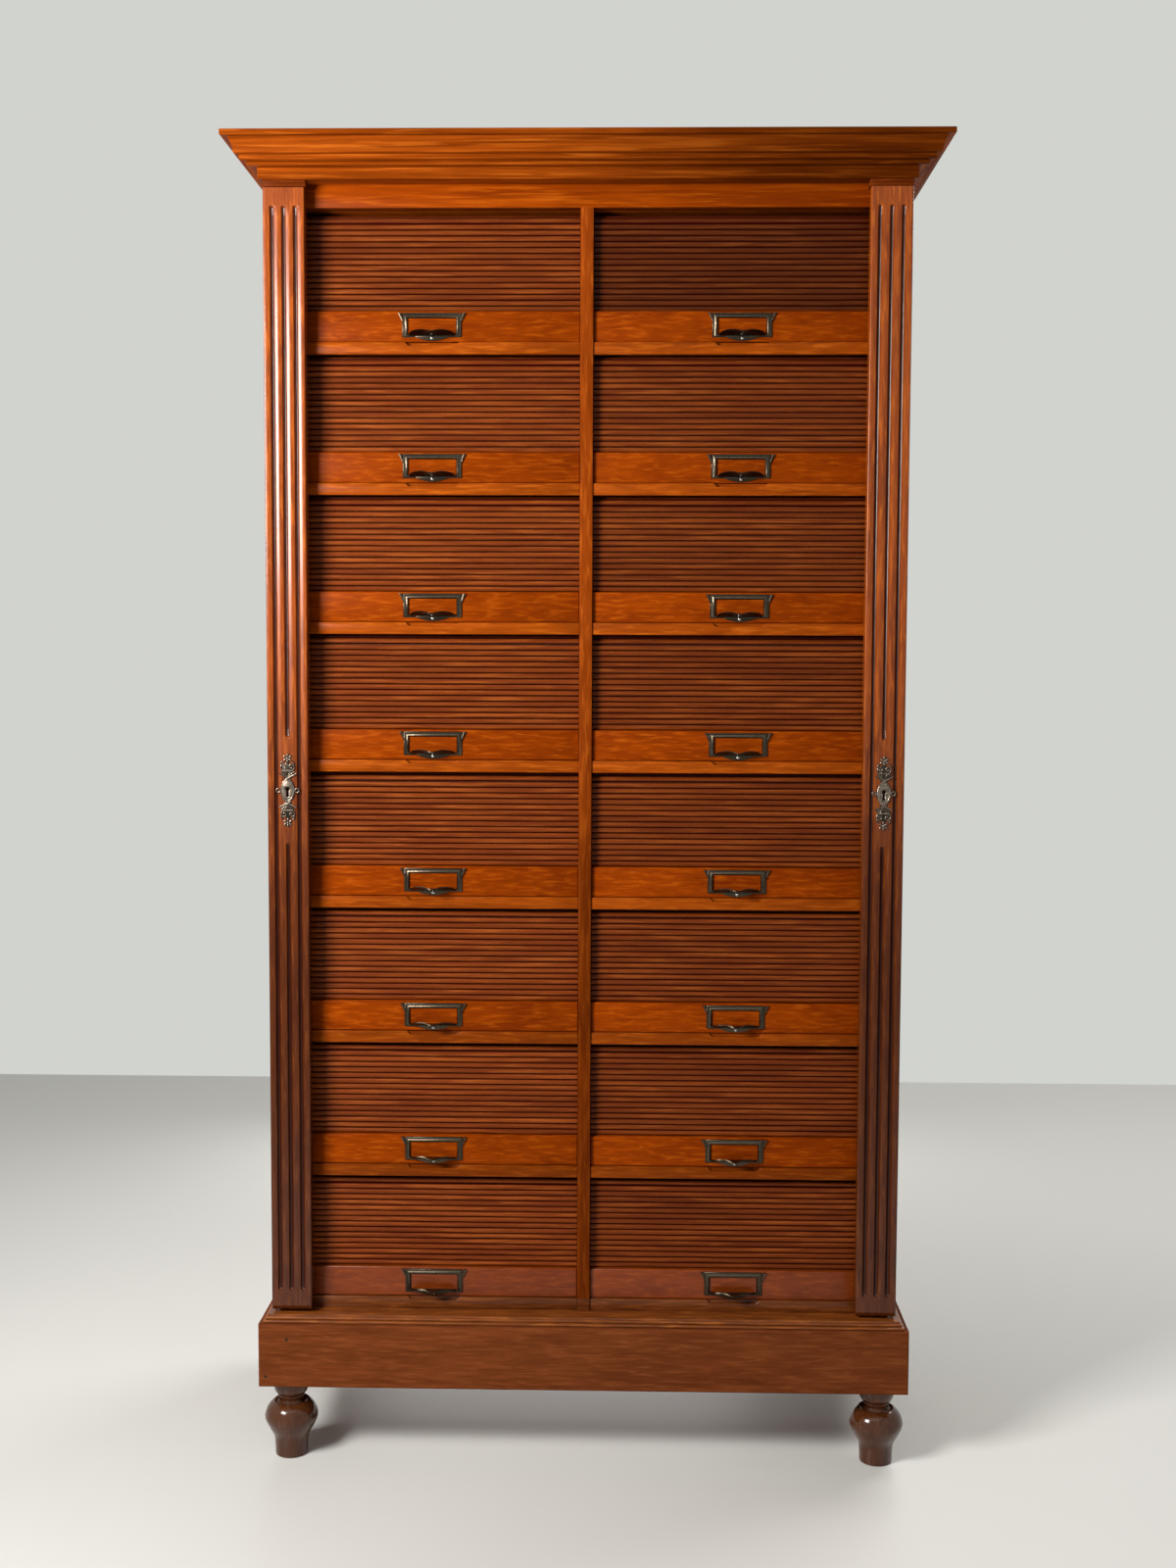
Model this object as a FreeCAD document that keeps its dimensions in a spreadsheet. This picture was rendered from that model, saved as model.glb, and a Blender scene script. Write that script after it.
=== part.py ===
"""Tambour filing cabinet: two columns of eight roll shutters between fluted, pivoting pilasters.

Millimetres. +Z is up, the front faces -Y, and the origin is on the floor under the middle of the cabinet.
"""
import FreeCAD
import Part
import math
import os
import re
import Sketcher

ROWS = 8
SIDES = {"left": -1, "right": 1}

doc = FreeCAD.newDocument("tambour_cabinet")


# Driving sizes, one sheet cell each.
SIZES = {
    # case
    "case_width": 850,
    "case_depth": 363,
    "side_thickness": 22,
    "partition_thickness": 17,
    "back_thickness": 8,
    "back_board_count": 6,
    "board_joint": 0.4,
    # shelves and rows
    "row_pitch": 185.3,
    "shelf_thickness": 16,
    "shelf_setback": 2,
    "shelf_rebate": 4,
    "shelf_housing": 4,
    "housing_setback": 6,
    "floor_thickness": 16,
    "ceiling_thickness": 14,
    "top_row_extra": 5,
    "finger_width": 72,
    "finger_drop": 4.5,
    "finger_depth": 6,
    # face frame
    "stile_thickness": 8,
    "frieze_height": 30,
    "frieze_thickness": 18,
    # feet, plinth and base board
    "foot_height": 107,
    "foot_inset": 38,
    "foot_ankle_radius": 23,
    "foot_ankle_height": 25,
    "foot_bulb_radius": 36.3,
    "foot_bulb_height": 52.5,
    "foot_bulb_band": 10,
    "foot_shoulder_radius": 23,
    "foot_shoulder_height": 70,
    "foot_neck_radius": 16,
    "foot_neck_height": 7,
    "foot_top_radius": 28,
    "foot_top_height": 13,
    "plinth_height": 87,
    "plinth_over": 16.5,
    "plinth_thickness": 20,
    "corner_block": 50,
    "corner_block_height": 60,
    "base_height": 11,
    "base_over": 11.2,
    "base_step": 3.2,
    "base_top_over": 5.5,
    "base_upper_bead": 4,
    "base_lower_bead": 4.5,
    "bead_round": 0.56,
    "bead_swell": 0.31,
    # cornice
    "cornice_height": 53,
    "cornice_over": 46,
    "cornice_foot_over": 5.5,
    "cornice_foot_height": 11.8,
    "cornice_weather_height": 4.4,
    "cornice_band_over": 22.9,
    "cornice_band_height": 7,
    "cornice_ovolo_foot_over": 26.6,
    "cornice_ovolo_over": 33.4,
    "cornice_ovolo_height": 8.3,
    "cornice_ovolo_radius": 7.6,
    "cornice_cove_over": 37.5,
    "cornice_cove_radius": 27,
    "cornice_corona": 7.2,
    "dust_board_thickness": 12,
    "dust_board_drop": 4,
    # pilasters
    "pilaster_width": 54.5,
    "pilaster_thickness": 21,
    "pilaster_gap": 1,
    "pilaster_foot_gap": 4,
    "pilaster_head_gap": 1,
    "cap_height": 8,
    "cap_over": 2,
    "cap_fillet": 3,
    "cap_quirk": 1.2,
    "flute_radius": 3.6,
    "flute_depth": 2.2,
    "flute_pitch": 15.4,
    "flute_margin": 25,
    "flute_break": 142,
    "keyhole_rise": 713,
    "pivot_inset": 7,
    "pivot_radius": 3.5,
    "pivot_length": 14,
    # lock and escutcheon
    "lock_width": 38,
    "lock_height": 56,
    "lock_depth": 11,
    "escutcheon_height": 98,
    "escutcheon_width": 32,
    "escutcheon_thickness": 2.2,
    "keyhole_radius": 3,
    "keyhole_slot": 2.6,
    "keyhole_length": 9,
    # shutters
    "lath_height": 40.5,
    "lath_setback": 5,
    "lath_gap": 0.5,
    "lath_arris": 1,
    "side_play": 0.6,
    "slat_setback": 11,
    "bent_slat_count": 2,
    "slat_pitch": 7.65,
    "slat_gap": 0.25,
    "slat_thickness": 5,
    "slat_bevel": 1.9,
    "canvas_thickness": 0.8,
    "tongue_length": 5,
    "groove_play": 0.5,
    "bend_radius": 9,
    "track_head": 2.5,
    "track_run": 120,
    # pulls
    "pull_width": 79,
    "pull_height": 38.1,
    "pull_rise": 6,
    "pull_corner": 3.5,
    "pull_thickness": 1.6,
    "pull_ear_reach": 6,
    "pull_ear_height": 12.6,
    "pull_ear_width": 3.5,
    "pull_notch": 6.5,
    "pull_bar": 7.5,
    "pull_top_bar": 7.1,
    "pull_sill": 4,
    "pull_tab_width": 35,
    "pull_tab_drop": 5.2,
    "lip_width": 60,
    "lip_reach": 24,
    "lip_thickness": 1.6,
    "lip_rise": 1,
    "lip_tilt": 8,
    "lip_dip": 2.5,
}

# Places worked out from the driving sizes.
PLACES = {
    # heights
    "base_bottom": "foot_height + plinth_height",
    "base_top": "base_bottom + base_height",
    "floor_top": "base_top + floor_thickness",
    "opening_height": "row_pitch - shelf_thickness",
    "frieze_bottom": f"floor_top + {ROWS} * row_pitch - shelf_thickness + top_row_extra",
    "cornice_bottom": "frieze_bottom + frieze_height",
    "cornice_top": "cornice_bottom + cornice_height",
    "cap_bottom": "cornice_bottom - cap_height",
    "pilaster_bottom": "base_top + pilaster_foot_gap",
    "pilaster_top": "cap_bottom - pilaster_head_gap",
    "keyhole_height": "pilaster_bottom + keyhole_rise",
    # depths
    "total_depth": "cornice_over + pilaster_thickness + pilaster_gap + case_depth",
    "pilaster_front": "cornice_over - total_depth / 2",
    "pilaster_back": "pilaster_front + pilaster_thickness",
    "case_front": "pilaster_back + pilaster_gap",
    "case_back": "total_depth / 2",
    "back_front": "case_back - back_thickness",
    "shelf_front": "case_front + shelf_setback",
    "lath_front": "case_front + lath_setback",
    "slat_front": "case_front + slat_setback",
    "slat_back": "slat_front + slat_thickness",
    "canvas_back": "slat_back + canvas_thickness",
    "housing_front": "canvas_back + groove_play + housing_setback",
    "plinth_front": "pilaster_front - plinth_over",
    # widths
    "case_half": "case_width / 2",
    "side_inner": "case_half - side_thickness",
    "bay_inner": "partition_thickness / 2",
    "bay_width": "side_inner - bay_inner",
    "bay_centre": "(side_inner + bay_inner) / 2",
    "plinth_half": "case_half + plinth_over",
    "pilaster_centre": "case_half - pilaster_width / 2",
    "pivot_x": "case_half - pivot_inset",
    "pivot_y": "pilaster_back - pivot_inset",
    # shutter, measured up from the floor of its compartment
    "slat_height": "slat_pitch - slat_gap",
    "lath_top": "lath_gap + lath_height",
    "track_outer": "bend_radius + slat_thickness + groove_play",
    "curtain_room": "opening_height + shelf_rebate - lath_top - track_outer - track_head",
    "slat_count": "floor(curtain_room / slat_pitch)",
    "bend_start": "lath_top + slat_count * slat_pitch",
    "bend_y": "slat_back + bend_radius",
    "bend_step": "2 * asin(slat_pitch / 2 / bend_radius)",
    "bend_apothem": "bend_radius * cos(bend_step / 2)",
    "track_inner": "bend_apothem - canvas_thickness - groove_play",
    "groove_depth": "tongue_length + side_play",
    "tongue_span": "bay_width + 2 * tongue_length",
    "face_span": "bay_width - 2 * side_play",
    # pull
    "pull_half": "pull_width / 2",
    "pull_bottom": "lath_gap + pull_rise",
    "pull_top": "lath_gap + pull_height",
    "lip_rear": "lath_front - pull_thickness / 2",
}


def write_sheet(name, cells, lead):
    """A two-column sheet: the word, and the cell that carries it as alias."""
    sheet = doc.addObject("Spreadsheet::Sheet", name)
    for row, (alias, content) in enumerate(cells.items(), start=1):
        sheet.set(f"A{row}", alias)
        sheet.set(f"B{row}", lead + linked(content))
        sheet.setAlias(f"B{row}", alias)
    return sheet


def linked(formula):
    """The formula with every size and place named through its sheet."""
    def full_name(match):
        word = match.group(0)
        if word in SIZES:
            return "Sizes." + word
        if word in PLACES:
            return "Places." + word
        return word
    return re.sub(r"[a-z_]+", full_name, str(formula))


sizes = write_sheet("Sizes", SIZES, "")
places = write_sheet("Places", PLACES, "=")
doc.recompute()


def value(formula):
    """The present number behind a formula."""
    result = sizes.evalExpression(linked(formula))
    return float(getattr(result, "Value", result))


def bind(thing, **formulas):
    """Bind properties of a document object to formulas."""
    for prop, formula in formulas.items():
        thing.setExpression(prop, linked(formula))


def place(thing, x="0", y="0", z="0"):
    """Bind the place of a document object."""
    for axis, formula in zip("xyz", (x, y, z)):
        thing.setExpression(f".Placement.Base.{axis}", linked(formula))
    return thing


def new_body(name):
    body = doc.addObject("PartDesign::Body", name)
    body.Label = name
    return body


def new_sketch(body, name, role, x="0", y="0", z="0", turn=None):
    """A sketch on one of the body's own origin planes, moved in that plane by x, y and out of it by z."""
    sketch = body.newObject("Sketcher::SketchObject", name)
    plane = next(f for f in body.Origin.OriginFeatures if f.Role == role)
    sketch.AttachmentSupport = [(plane, "")]
    sketch.MapMode = "FlatFace"
    for axis, formula in zip("xyz", (x, y, z)):
        sketch.setExpression(f".AttachmentOffset.Base.{axis}", linked(formula))
    if turn:
        axis, formula = turn
        sketch.AttachmentOffset = FreeCAD.Placement(
            FreeCAD.Vector(0, 0, 0), FreeCAD.Rotation(axis, 1)
        )
        sketch.setExpression(".AttachmentOffset.Rotation.Angle", linked(formula))
    return sketch


def arc_between(start, end, radius, clockwise):
    """The minor arc from start to end, as (arc, runs forward)."""
    chord = end - start
    rise = math.sqrt(max(radius**2 - (chord.Length / 2) ** 2, 0))
    left = FreeCAD.Vector(-chord.y, chord.x, 0).normalize()
    centre = (start + end) / 2 + left * (-rise if clockwise else rise)
    circle = Part.Circle(centre, FreeCAD.Vector(0, 0, 1), radius)
    first, last = (end, start) if clockwise else (start, end)
    angles = [math.atan2(p.y - centre.y, p.x - centre.x) for p in (first, last)]
    return Part.ArcOfCircle(circle, *angles), not clockwise


def outline(sketch, corners):
    """Close an outline through corners (u, v), or (u, v, radius, "cw" or "ccw") where an arc runs on."""
    points = [FreeCAD.Vector(value(c[0]), value(c[1]), 0) for c in corners]
    pieces = []
    for number, corner in enumerate(corners):
        start, end = points[number], points[(number + 1) % len(points)]
        forward = True
        if len(corner) > 2:
            curve, forward = arc_between(start, end, value(corner[2]), corner[3] == "cw")
        else:
            curve = Part.LineSegment(start, end)
        pieces.append((sketch.addGeometry(curve, False), forward))
    for number, (piece, forward) in enumerate(pieces):
        following, next_forward = pieces[(number + 1) % len(pieces)]
        sketch.addConstraint(
            Sketcher.Constraint(
                "Coincident", piece, 2 if forward else 1, following, 1 if next_forward else 2
            )
        )
    for corner, point, (piece, forward) in zip(corners, points, pieces):
        near = 1 if forward else 2
        fix(sketch, Sketcher.Constraint("DistanceX", -1, 1, piece, near, point.x), corner[0])
        fix(sketch, Sketcher.Constraint("DistanceY", -1, 1, piece, near, point.y), corner[1])
        if len(corner) > 2:
            fix(sketch, Sketcher.Constraint("Radius", piece, value(corner[2])), corner[2])
    return sketch


def fix(sketch, constraint, formula):
    """Add a constraint whose size follows a formula."""
    number = sketch.addConstraint(constraint)
    sketch.setExpression(f"Constraints[{number}]", linked(formula))


def rectangle(sketch, left, right, bottom, top):
    return outline(sketch, [(left, bottom), (right, bottom), (right, top), (left, top)])


def round_hole(sketch, u, v, radius):
    """A bound circle."""
    centre = FreeCAD.Vector(value(u), value(v), 0)
    circle = sketch.addGeometry(Part.Circle(centre, FreeCAD.Vector(0, 0, 1), value(radius)), False)
    fix(sketch, Sketcher.Constraint("DistanceX", -1, 1, circle, 3, centre.x), u)
    fix(sketch, Sketcher.Constraint("DistanceY", -1, 1, circle, 3, centre.y), v)
    fix(sketch, Sketcher.Constraint("Radius", circle, value(radius)), radius)
    return sketch


def pad(body, sketch, length, symmetric=False, reverse=False):
    feature = body.newObject("PartDesign::Pad", "pad")
    feature.Profile = sketch
    feature.SideType = "Symmetric" if symmetric else "One side"
    feature.Reversed = reverse
    bind(feature, Length=length)
    return feature


def pocket(body, sketch, depth, reverse=False):
    """A pocket that is checked to have taken something away."""
    doc.recompute()
    before = body.Shape.Volume
    feature = body.newObject("PartDesign::Pocket", "pocket")
    feature.Profile = sketch
    feature.Reversed = reverse
    bind(feature, Length=depth)
    doc.recompute()
    assert body.Shape.Volume < before - 1, f"{sketch.Name} cuts nothing"
    return feature


def repeat(body, features, sketch, axis, length, count):
    """A row of copies of some features along a sketch axis."""
    pattern = body.newObject("PartDesign::LinearPattern", "row")
    pattern.Originals = features
    pattern.Direction = (sketch, [axis])
    bind(pattern, Length=length, Occurrences=count)
    body.Tip = pattern
    return pattern


def box(name, x, y, z):
    """A box from three (low, high) pairs of formulas."""
    thing = doc.addObject("Part::Box", name)
    for prop, (low, high) in zip(("Length", "Width", "Height"), (x, y, z)):
        bind(thing, **{prop: f"({high}) - ({low})"})
    return place(thing, x[0], y[0], z[0])


def cylinder(name, radius, x, y, z):
    """An upright cylinder over a (low, high) pair in z."""
    thing = doc.addObject("Part::Cylinder", name)
    bind(thing, Radius=radius, Height=f"({z[1]}) - ({z[0]})")
    return place(thing, x, y, z[0])


def cut(name, base, *tools):
    """The base less its tools."""
    tool = tools[0] if len(tools) == 1 else group(name + "_tools", *tools)
    thing = doc.addObject("Part::Cut", name)
    thing.Base = base
    thing.Tool = tool
    return thing


def group(name, *things):
    """Separate solids that share a name."""
    gathered = doc.addObject("Part::Compound", name)
    gathered.Links = list(things)
    gathered.Label = name
    return gathered


def mirrored(thing, normal=(1, 0, 0)):
    """The same piece on the other side of the middle."""
    other = doc.addObject("Part::Mirroring", thing.Name + "_mirrored")
    other.Source = thing
    other.Normal = normal
    return other


NODES = []


def node(thing, name):
    """Name a finished sub-part."""
    thing.Label = name
    NODES.append(thing)
    return thing


def row_floor(row):
    """Height of the floor of a row, counted from 1 at the top."""
    return f"floor_top + {ROWS - row} * row_pitch"


def moulded_block(name, profile, bottom):
    """A block with one moulding on its front and both sides, mitred at the corners.

    The profile lists (projection, height) corners from the bottom up. The front moulding runs the whole
    width and the side mouldings the whole depth, and the block is what the two have in common.
    """
    front = new_body(name + "_front")
    corners = [("case_back", profile[0][1])]
    corners += [(f"pilaster_front - ({c[0]})", c[1], *c[2:]) for c in profile]
    corners += [("case_back", profile[-1][1])]
    sketch = outline(new_sketch(front, name + "_front_profile", "YZ_Plane", y=bottom), corners)
    pad(front, sketch, "case_width * 2", symmetric=True)
    turned = {"cw": "ccw", "ccw": "cw"}
    side = new_body(name + "_side")
    corners = [("0", profile[0][1])]
    corners += [(f"case_half + ({c[0]})", c[1], *c[2:3], *[turned[d] for d in c[3:]]) for c in profile]
    corners += [("0", profile[-1][1])]
    sketch = outline(new_sketch(side, name + "_side_profile", "XZ_Plane", y=bottom), corners)
    half = pad(side, sketch, "total_depth * 2", symmetric=True)
    both = side.newObject("PartDesign::Mirrored", name + "_both_sides")
    both.Originals = [half]
    both.MirrorPlane = (sketch, ["V_Axis"])
    side.Tip = both
    block = doc.addObject("Part::Common", name)
    block.Base = front
    block.Tool = side
    return block


# Feet: each a turned bulb on a straight ankle, with a neck and a flared collar under a corner block.
foot = new_body("foot")
foot_profile = outline(
    new_sketch(foot, "foot_profile", "XZ_Plane"),
    [
        ("0", "0"),
        ("foot_ankle_radius", "0"),
        ("foot_ankle_radius", "foot_ankle_height"),
        ("foot_bulb_radius", "foot_bulb_height - foot_bulb_band / 2"),
        ("foot_bulb_radius", "foot_bulb_height + foot_bulb_band / 2"),
        ("foot_shoulder_radius", "foot_shoulder_height"),
        ("foot_neck_radius", "foot_shoulder_height"),
        ("foot_neck_radius", "foot_shoulder_height + foot_neck_height"),
        ("foot_top_radius", "foot_height - foot_top_height"),
        ("foot_top_radius", "foot_height"),
        ("0", "foot_height"),
    ],
)
turning = foot.newObject("PartDesign::Revolution", "foot_turning")
turning.Profile = foot_profile
turning.ReferenceAxis = (foot_profile, ["V_Axis"])
turning.Angle = 360
foot_x = "plinth_half - foot_inset"
foot_ends = {"front": "plinth_front + foot_inset", "rear": "case_back - foot_inset"}
feet = [
    place(group(f"foot_{side}_{end}", foot), f"{sign} * ({foot_x})", foot_y)
    for side, sign in SIDES.items()
    for end, foot_y in foot_ends.items()
]
node(group("feet", *feet), "feet")

# Plinth: four boards, a corner block over each foot, and the base board whose two beads step back upwards.
plinth_z = ("foot_height", "base_bottom")
plinth_inner_y = ("plinth_front + plinth_thickness", "case_back")
front_board = box(
    "plinth_front_board",
    ("-plinth_half", "plinth_half"),
    ("plinth_front", "plinth_front + plinth_thickness"),
    plinth_z,
)
side_board = box(
    "plinth_side_board", ("plinth_half - plinth_thickness", "plinth_half"), plinth_inner_y, plinth_z
)
rear_board = box(
    "plinth_rear_board",
    ("plinth_thickness - plinth_half", "plinth_half - plinth_thickness"),
    ("case_back - plinth_thickness", "case_back"),
    plinth_z,
)
blocks = []
for end in foot_ends:
    rear = end == "rear"
    inner = "case_back - plinth_thickness" if rear else "plinth_front + plinth_thickness"
    reach = (f"{inner} - corner_block", inner) if rear else (inner, f"{inner} + corner_block")
    block = box(
        f"corner_block_{end}",
        ("plinth_half - plinth_thickness - corner_block", "plinth_half - plinth_thickness"),
        reach,
        ("foot_height", "foot_height + corner_block_height"),
    )
    blocks += [block, mirrored(block)]
lower_bead = "base_over - base_lower_bead * bead_swell"
upper_bead = "base_over - base_step - base_upper_bead * bead_swell"
beads_top = "base_lower_bead + base_upper_bead"
base_profile = [
    (lower_bead, "0", "base_lower_bead * bead_round", "cw"),
    (lower_bead, "base_lower_bead"),
    (upper_bead, "base_lower_bead", "base_upper_bead * bead_round", "cw"),
    (upper_bead, beads_top),
    ("base_top_over", beads_top),
    ("base_top_over", "base_height"),
]
base_block = moulded_block("base_block", base_profile, "base_bottom")
pin_sockets = [
    cylinder(
        f"pin_socket_{side}",
        "pivot_radius + groove_play",
        f"{sign} * pivot_x",
        "pivot_y",
        ("base_top - pivot_length / 2 - 1", "base_top + 1"),
    )
    for side, sign in SIDES.items()
]
base_board = cut("base_board", base_block, *pin_sockets)
node(
    group("plinth", front_board, side_board, mirrored(side_board), rear_board, *blocks, base_board),
    "plinth",
)


def track_outline(sketch):
    """The groove that a shutter runs in: up the front, round the bend, and back over the compartment."""
    front = "slat_front - groove_play"
    rear = "canvas_back + groove_play"
    far = "bend_y + track_run"
    turn = "track_outer * tan(22.5)"
    return outline(
        sketch,
        [
            (front, "0"),
            (rear, "0"),
            (rear, "bend_start"),
            ("bend_y", "bend_start + track_inner"),
            (far, "bend_start + track_inner"),
            (far, "bend_start + track_outer"),
            (f"bend_y - {turn}", "bend_start + track_outer"),
            (front, f"bend_start + {turn}"),
        ],
    )


def grooved(body, offset, reverse):
    """Rout the shutter grooves of all rows and the shelf housings into one face of an upright."""
    sketch = track_outline(
        new_sketch(body, f"{body.Name}_track", "YZ_Plane", y="floor_top", z=offset)
    )
    track = pocket(body, sketch, "groove_depth", reverse)
    repeat(body, [track], sketch, "V_Axis", f"{ROWS - 1} * row_pitch", ROWS)
    sketch = rectangle(
        new_sketch(body, f"{body.Name}_housing", "YZ_Plane", y="floor_top", z=offset),
        "housing_front",
        "back_front",
        "opening_height + shelf_rebate",
        "row_pitch",
    )
    housing = pocket(body, sketch, "shelf_housing", reverse)
    repeat(body, [housing], sketch, "V_Axis", f"{ROWS - 2} * row_pitch", ROWS - 1)


# Case sides and centre partition, grooved for the shutters and housed for the shelves.
case_side = new_body("case_side")
pad(
    case_side,
    rectangle(
        new_sketch(case_side, "case_side_face", "YZ_Plane", z="side_inner"),
        "case_front",
        "case_back",
        "base_top",
        "cornice_bottom",
    ),
    "side_thickness",
)
grooved(case_side, "side_inner", True)
node(group("case_sides", case_side, mirrored(case_side)), "case_sides")

partition = new_body("partition")
pad(
    partition,
    rectangle(
        new_sketch(partition, "partition_face", "YZ_Plane"),
        "case_front + stile_thickness",
        "back_front",
        "base_top",
        "frieze_bottom",
    ),
    "partition_thickness",
    symmetric=True,
)
for offset, reverse in (("bay_inner", False), ("-bay_inner", True)):
    grooved(partition, offset, reverse)
node(partition, "centre_partition")


def finger_recess(body, z, top):
    """The hollow in the front arris under a pull, with sloping ends."""
    sketch = outline(
        new_sketch(body, f"{body.Name}_recess", "XZ_Plane", y=z, z="-shelf_front"),
        [
            ("-finger_width / 2", "0"),
            ("finger_drop - finger_width / 2", "-finger_drop"),
            ("finger_width / 2 - finger_drop", "-finger_drop"),
            ("finger_width / 2", "0"),
            ("finger_width / 2", top),
            ("-finger_width / 2", top),
        ],
    )
    return pocket(body, sketch, "finger_depth")


# Shelves: one board under each compartment, housed in the uprights at both ends behind the grooves, and
# rebated underneath, behind its front edge, where the shutter below turns back.
shelf = new_body("shelf")
housed = "bay_width / 2 + shelf_housing"
shelf_plan = outline(
    new_sketch(shelf, "shelf_plan", "XY_Plane"),
    [
        ("-bay_width / 2", "shelf_front"),
        ("bay_width / 2", "shelf_front"),
        ("bay_width / 2", "housing_front"),
        (housed, "housing_front"),
        (housed, "back_front"),
        (f"-({housed})", "back_front"),
        (f"-({housed})", "housing_front"),
        ("-bay_width / 2", "housing_front"),
    ],
)
pad(shelf, shelf_plan, "shelf_thickness", reverse=True)
rebate = rectangle(
    new_sketch(shelf, "shelf_rebate", "XY_Plane", z="-shelf_thickness"),
    f"-({housed})",
    housed,
    "slat_front - groove_play",
    "back_front",
)
pocket(shelf, rebate, "shelf_rebate", True)
finger_recess(shelf, "0", "1")
floor_board = new_body("floor_board")
floor_plan = rectangle(
    new_sketch(floor_board, "floor_plan", "XY_Plane"),
    "-bay_width / 2",
    "bay_width / 2",
    "shelf_front",
    "back_front",
)
pad(floor_board, floor_plan, "floor_thickness", reverse=True)
finger_recess(floor_board, "0", "1")
boards = []
for side, sign in SIDES.items():
    for row in range(1, ROWS):
        board = group(f"shelf_{side}_{row}", shelf)
        boards.append(place(board, f"{sign} * bay_centre", z=row_floor(row)))
    board = group(f"floor_{side}", floor_board)
    boards.append(place(board, f"{sign} * bay_centre", z="floor_top"))
boards.append(
    box(
        "ceiling_board",
        ("-side_inner", "side_inner"),
        ("case_front + frieze_thickness", "back_front"),
        ("frieze_bottom", "frieze_bottom + ceiling_thickness"),
    )
)
node(group("shelves", *boards), "shelves")

# Back: upright boards side by side between the case sides.
back_pitch = "(2 * side_inner + board_joint) / back_board_count"
back = new_body("back")
back_face = rectangle(
    new_sketch(back, "back_face", "XZ_Plane", z="-case_back"),
    "-side_inner",
    f"{back_pitch} - board_joint - side_inner",
    "base_top",
    "cornice_bottom",
)
first_board = pad(back, back_face, "back_thickness")
repeat(
    back,
    [first_board],
    back_face,
    "H_Axis",
    f"(back_board_count - 1) * ({back_pitch})",
    "back_board_count",
)
node(back, "back_boards")

# Face frame: the stile on the partition's front edge, the frieze rail, and a cap block over each pilaster.
stile = box(
    "stile",
    ("-bay_inner", "bay_inner"),
    ("case_front", "case_front + stile_thickness"),
    ("base_top", "frieze_bottom"),
)
frieze = box(
    "frieze",
    ("-side_inner", "side_inner"),
    ("case_front", "case_front + frieze_thickness"),
    ("frieze_bottom", "cornice_bottom"),
)
cap = new_body("cap")
cap_profile = outline(
    new_sketch(cap, "cap_profile", "YZ_Plane", z="case_half - pilaster_width - cap_over"),
    [
        ("pilaster_front - cap_over / 2", "cap_bottom + cap_fillet"),
        ("pilaster_front - cap_over / 2", "cap_bottom"),
        ("case_front", "cap_bottom"),
        ("case_front", "cornice_bottom"),
        ("pilaster_front - cap_over", "cornice_bottom"),
        ("pilaster_front - cap_over", "cap_bottom + cap_fillet + cap_quirk"),
        ("pilaster_front", "cap_bottom + cap_fillet + cap_quirk"),
        ("pilaster_front", "cap_bottom + cap_fillet"),
    ],
)
pad(cap, cap_profile, "pilaster_width + cap_over")
cap_socket = round_hole(
    new_sketch(cap, "cap_socket", "XY_Plane", z="cap_bottom"),
    "pivot_x",
    "pivot_y",
    "pivot_radius + groove_play",
)
pocket(cap, cap_socket, "pivot_length / 2", True)
node(group("face_frame", stile, frieze, cap, mirrored(cap)), "face_frame")

# Cornice: an upright foot, a weathered slope, a flat band, an ovolo running into a tall cove, and a corona,
# mitred round three sides, with a dust board inside.
band_foot = "cornice_foot_height + cornice_weather_height"
ovolo_foot = f"{band_foot} + cornice_band_height"
ovolo_top = f"{ovolo_foot} + cornice_ovolo_height"
corona_foot = "cornice_height - cornice_corona"
cornice_profile = [
    ("cornice_foot_over", "0"),
    ("cornice_foot_over", "cornice_foot_height"),
    ("cornice_band_over", band_foot),
    ("cornice_band_over", ovolo_foot),
    ("cornice_ovolo_foot_over", ovolo_foot, "cornice_ovolo_radius", "cw"),
    ("cornice_ovolo_over", ovolo_top, "cornice_cove_radius", "ccw"),
    ("cornice_cove_over", corona_foot),
    ("cornice_over", corona_foot),
    ("cornice_over", "cornice_height"),
]
cornice_block = moulded_block("cornice_block", cornice_profile, "cornice_bottom")
well_y = ("case_front + frieze_thickness", "back_front")
well = box(
    "cornice_well", ("-side_inner", "side_inner"), well_y, ("cornice_bottom", "cornice_top")
)
dust_board = box(
    "dust_board",
    ("-side_inner", "side_inner"),
    well_y,
    ("cornice_top - dust_board_drop - dust_board_thickness", "cornice_top - dust_board_drop"),
)
node(group("cornice", cut("cornice_moulding", cornice_block, well), dust_board), "cornice")

# Pilaster: a fluted stile that swings on a pivot at its foot and one at its head, its rear outer arris
# rounded about them.
pilaster = new_body("pilaster")
pilaster_inner = "case_half - pilaster_width"
section = outline(
    new_sketch(pilaster, "pilaster_section", "XY_Plane", z="pilaster_bottom"),
    [
        (pilaster_inner, "pilaster_front"),
        ("case_half", "pilaster_front"),
        ("case_half", "pivot_y", "pivot_inset", "ccw"),
        ("pivot_x", "pilaster_back"),
        (pilaster_inner, "pilaster_back"),
    ],
)
pad(pilaster, section, "pilaster_top - pilaster_bottom")
doc.recompute()


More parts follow.
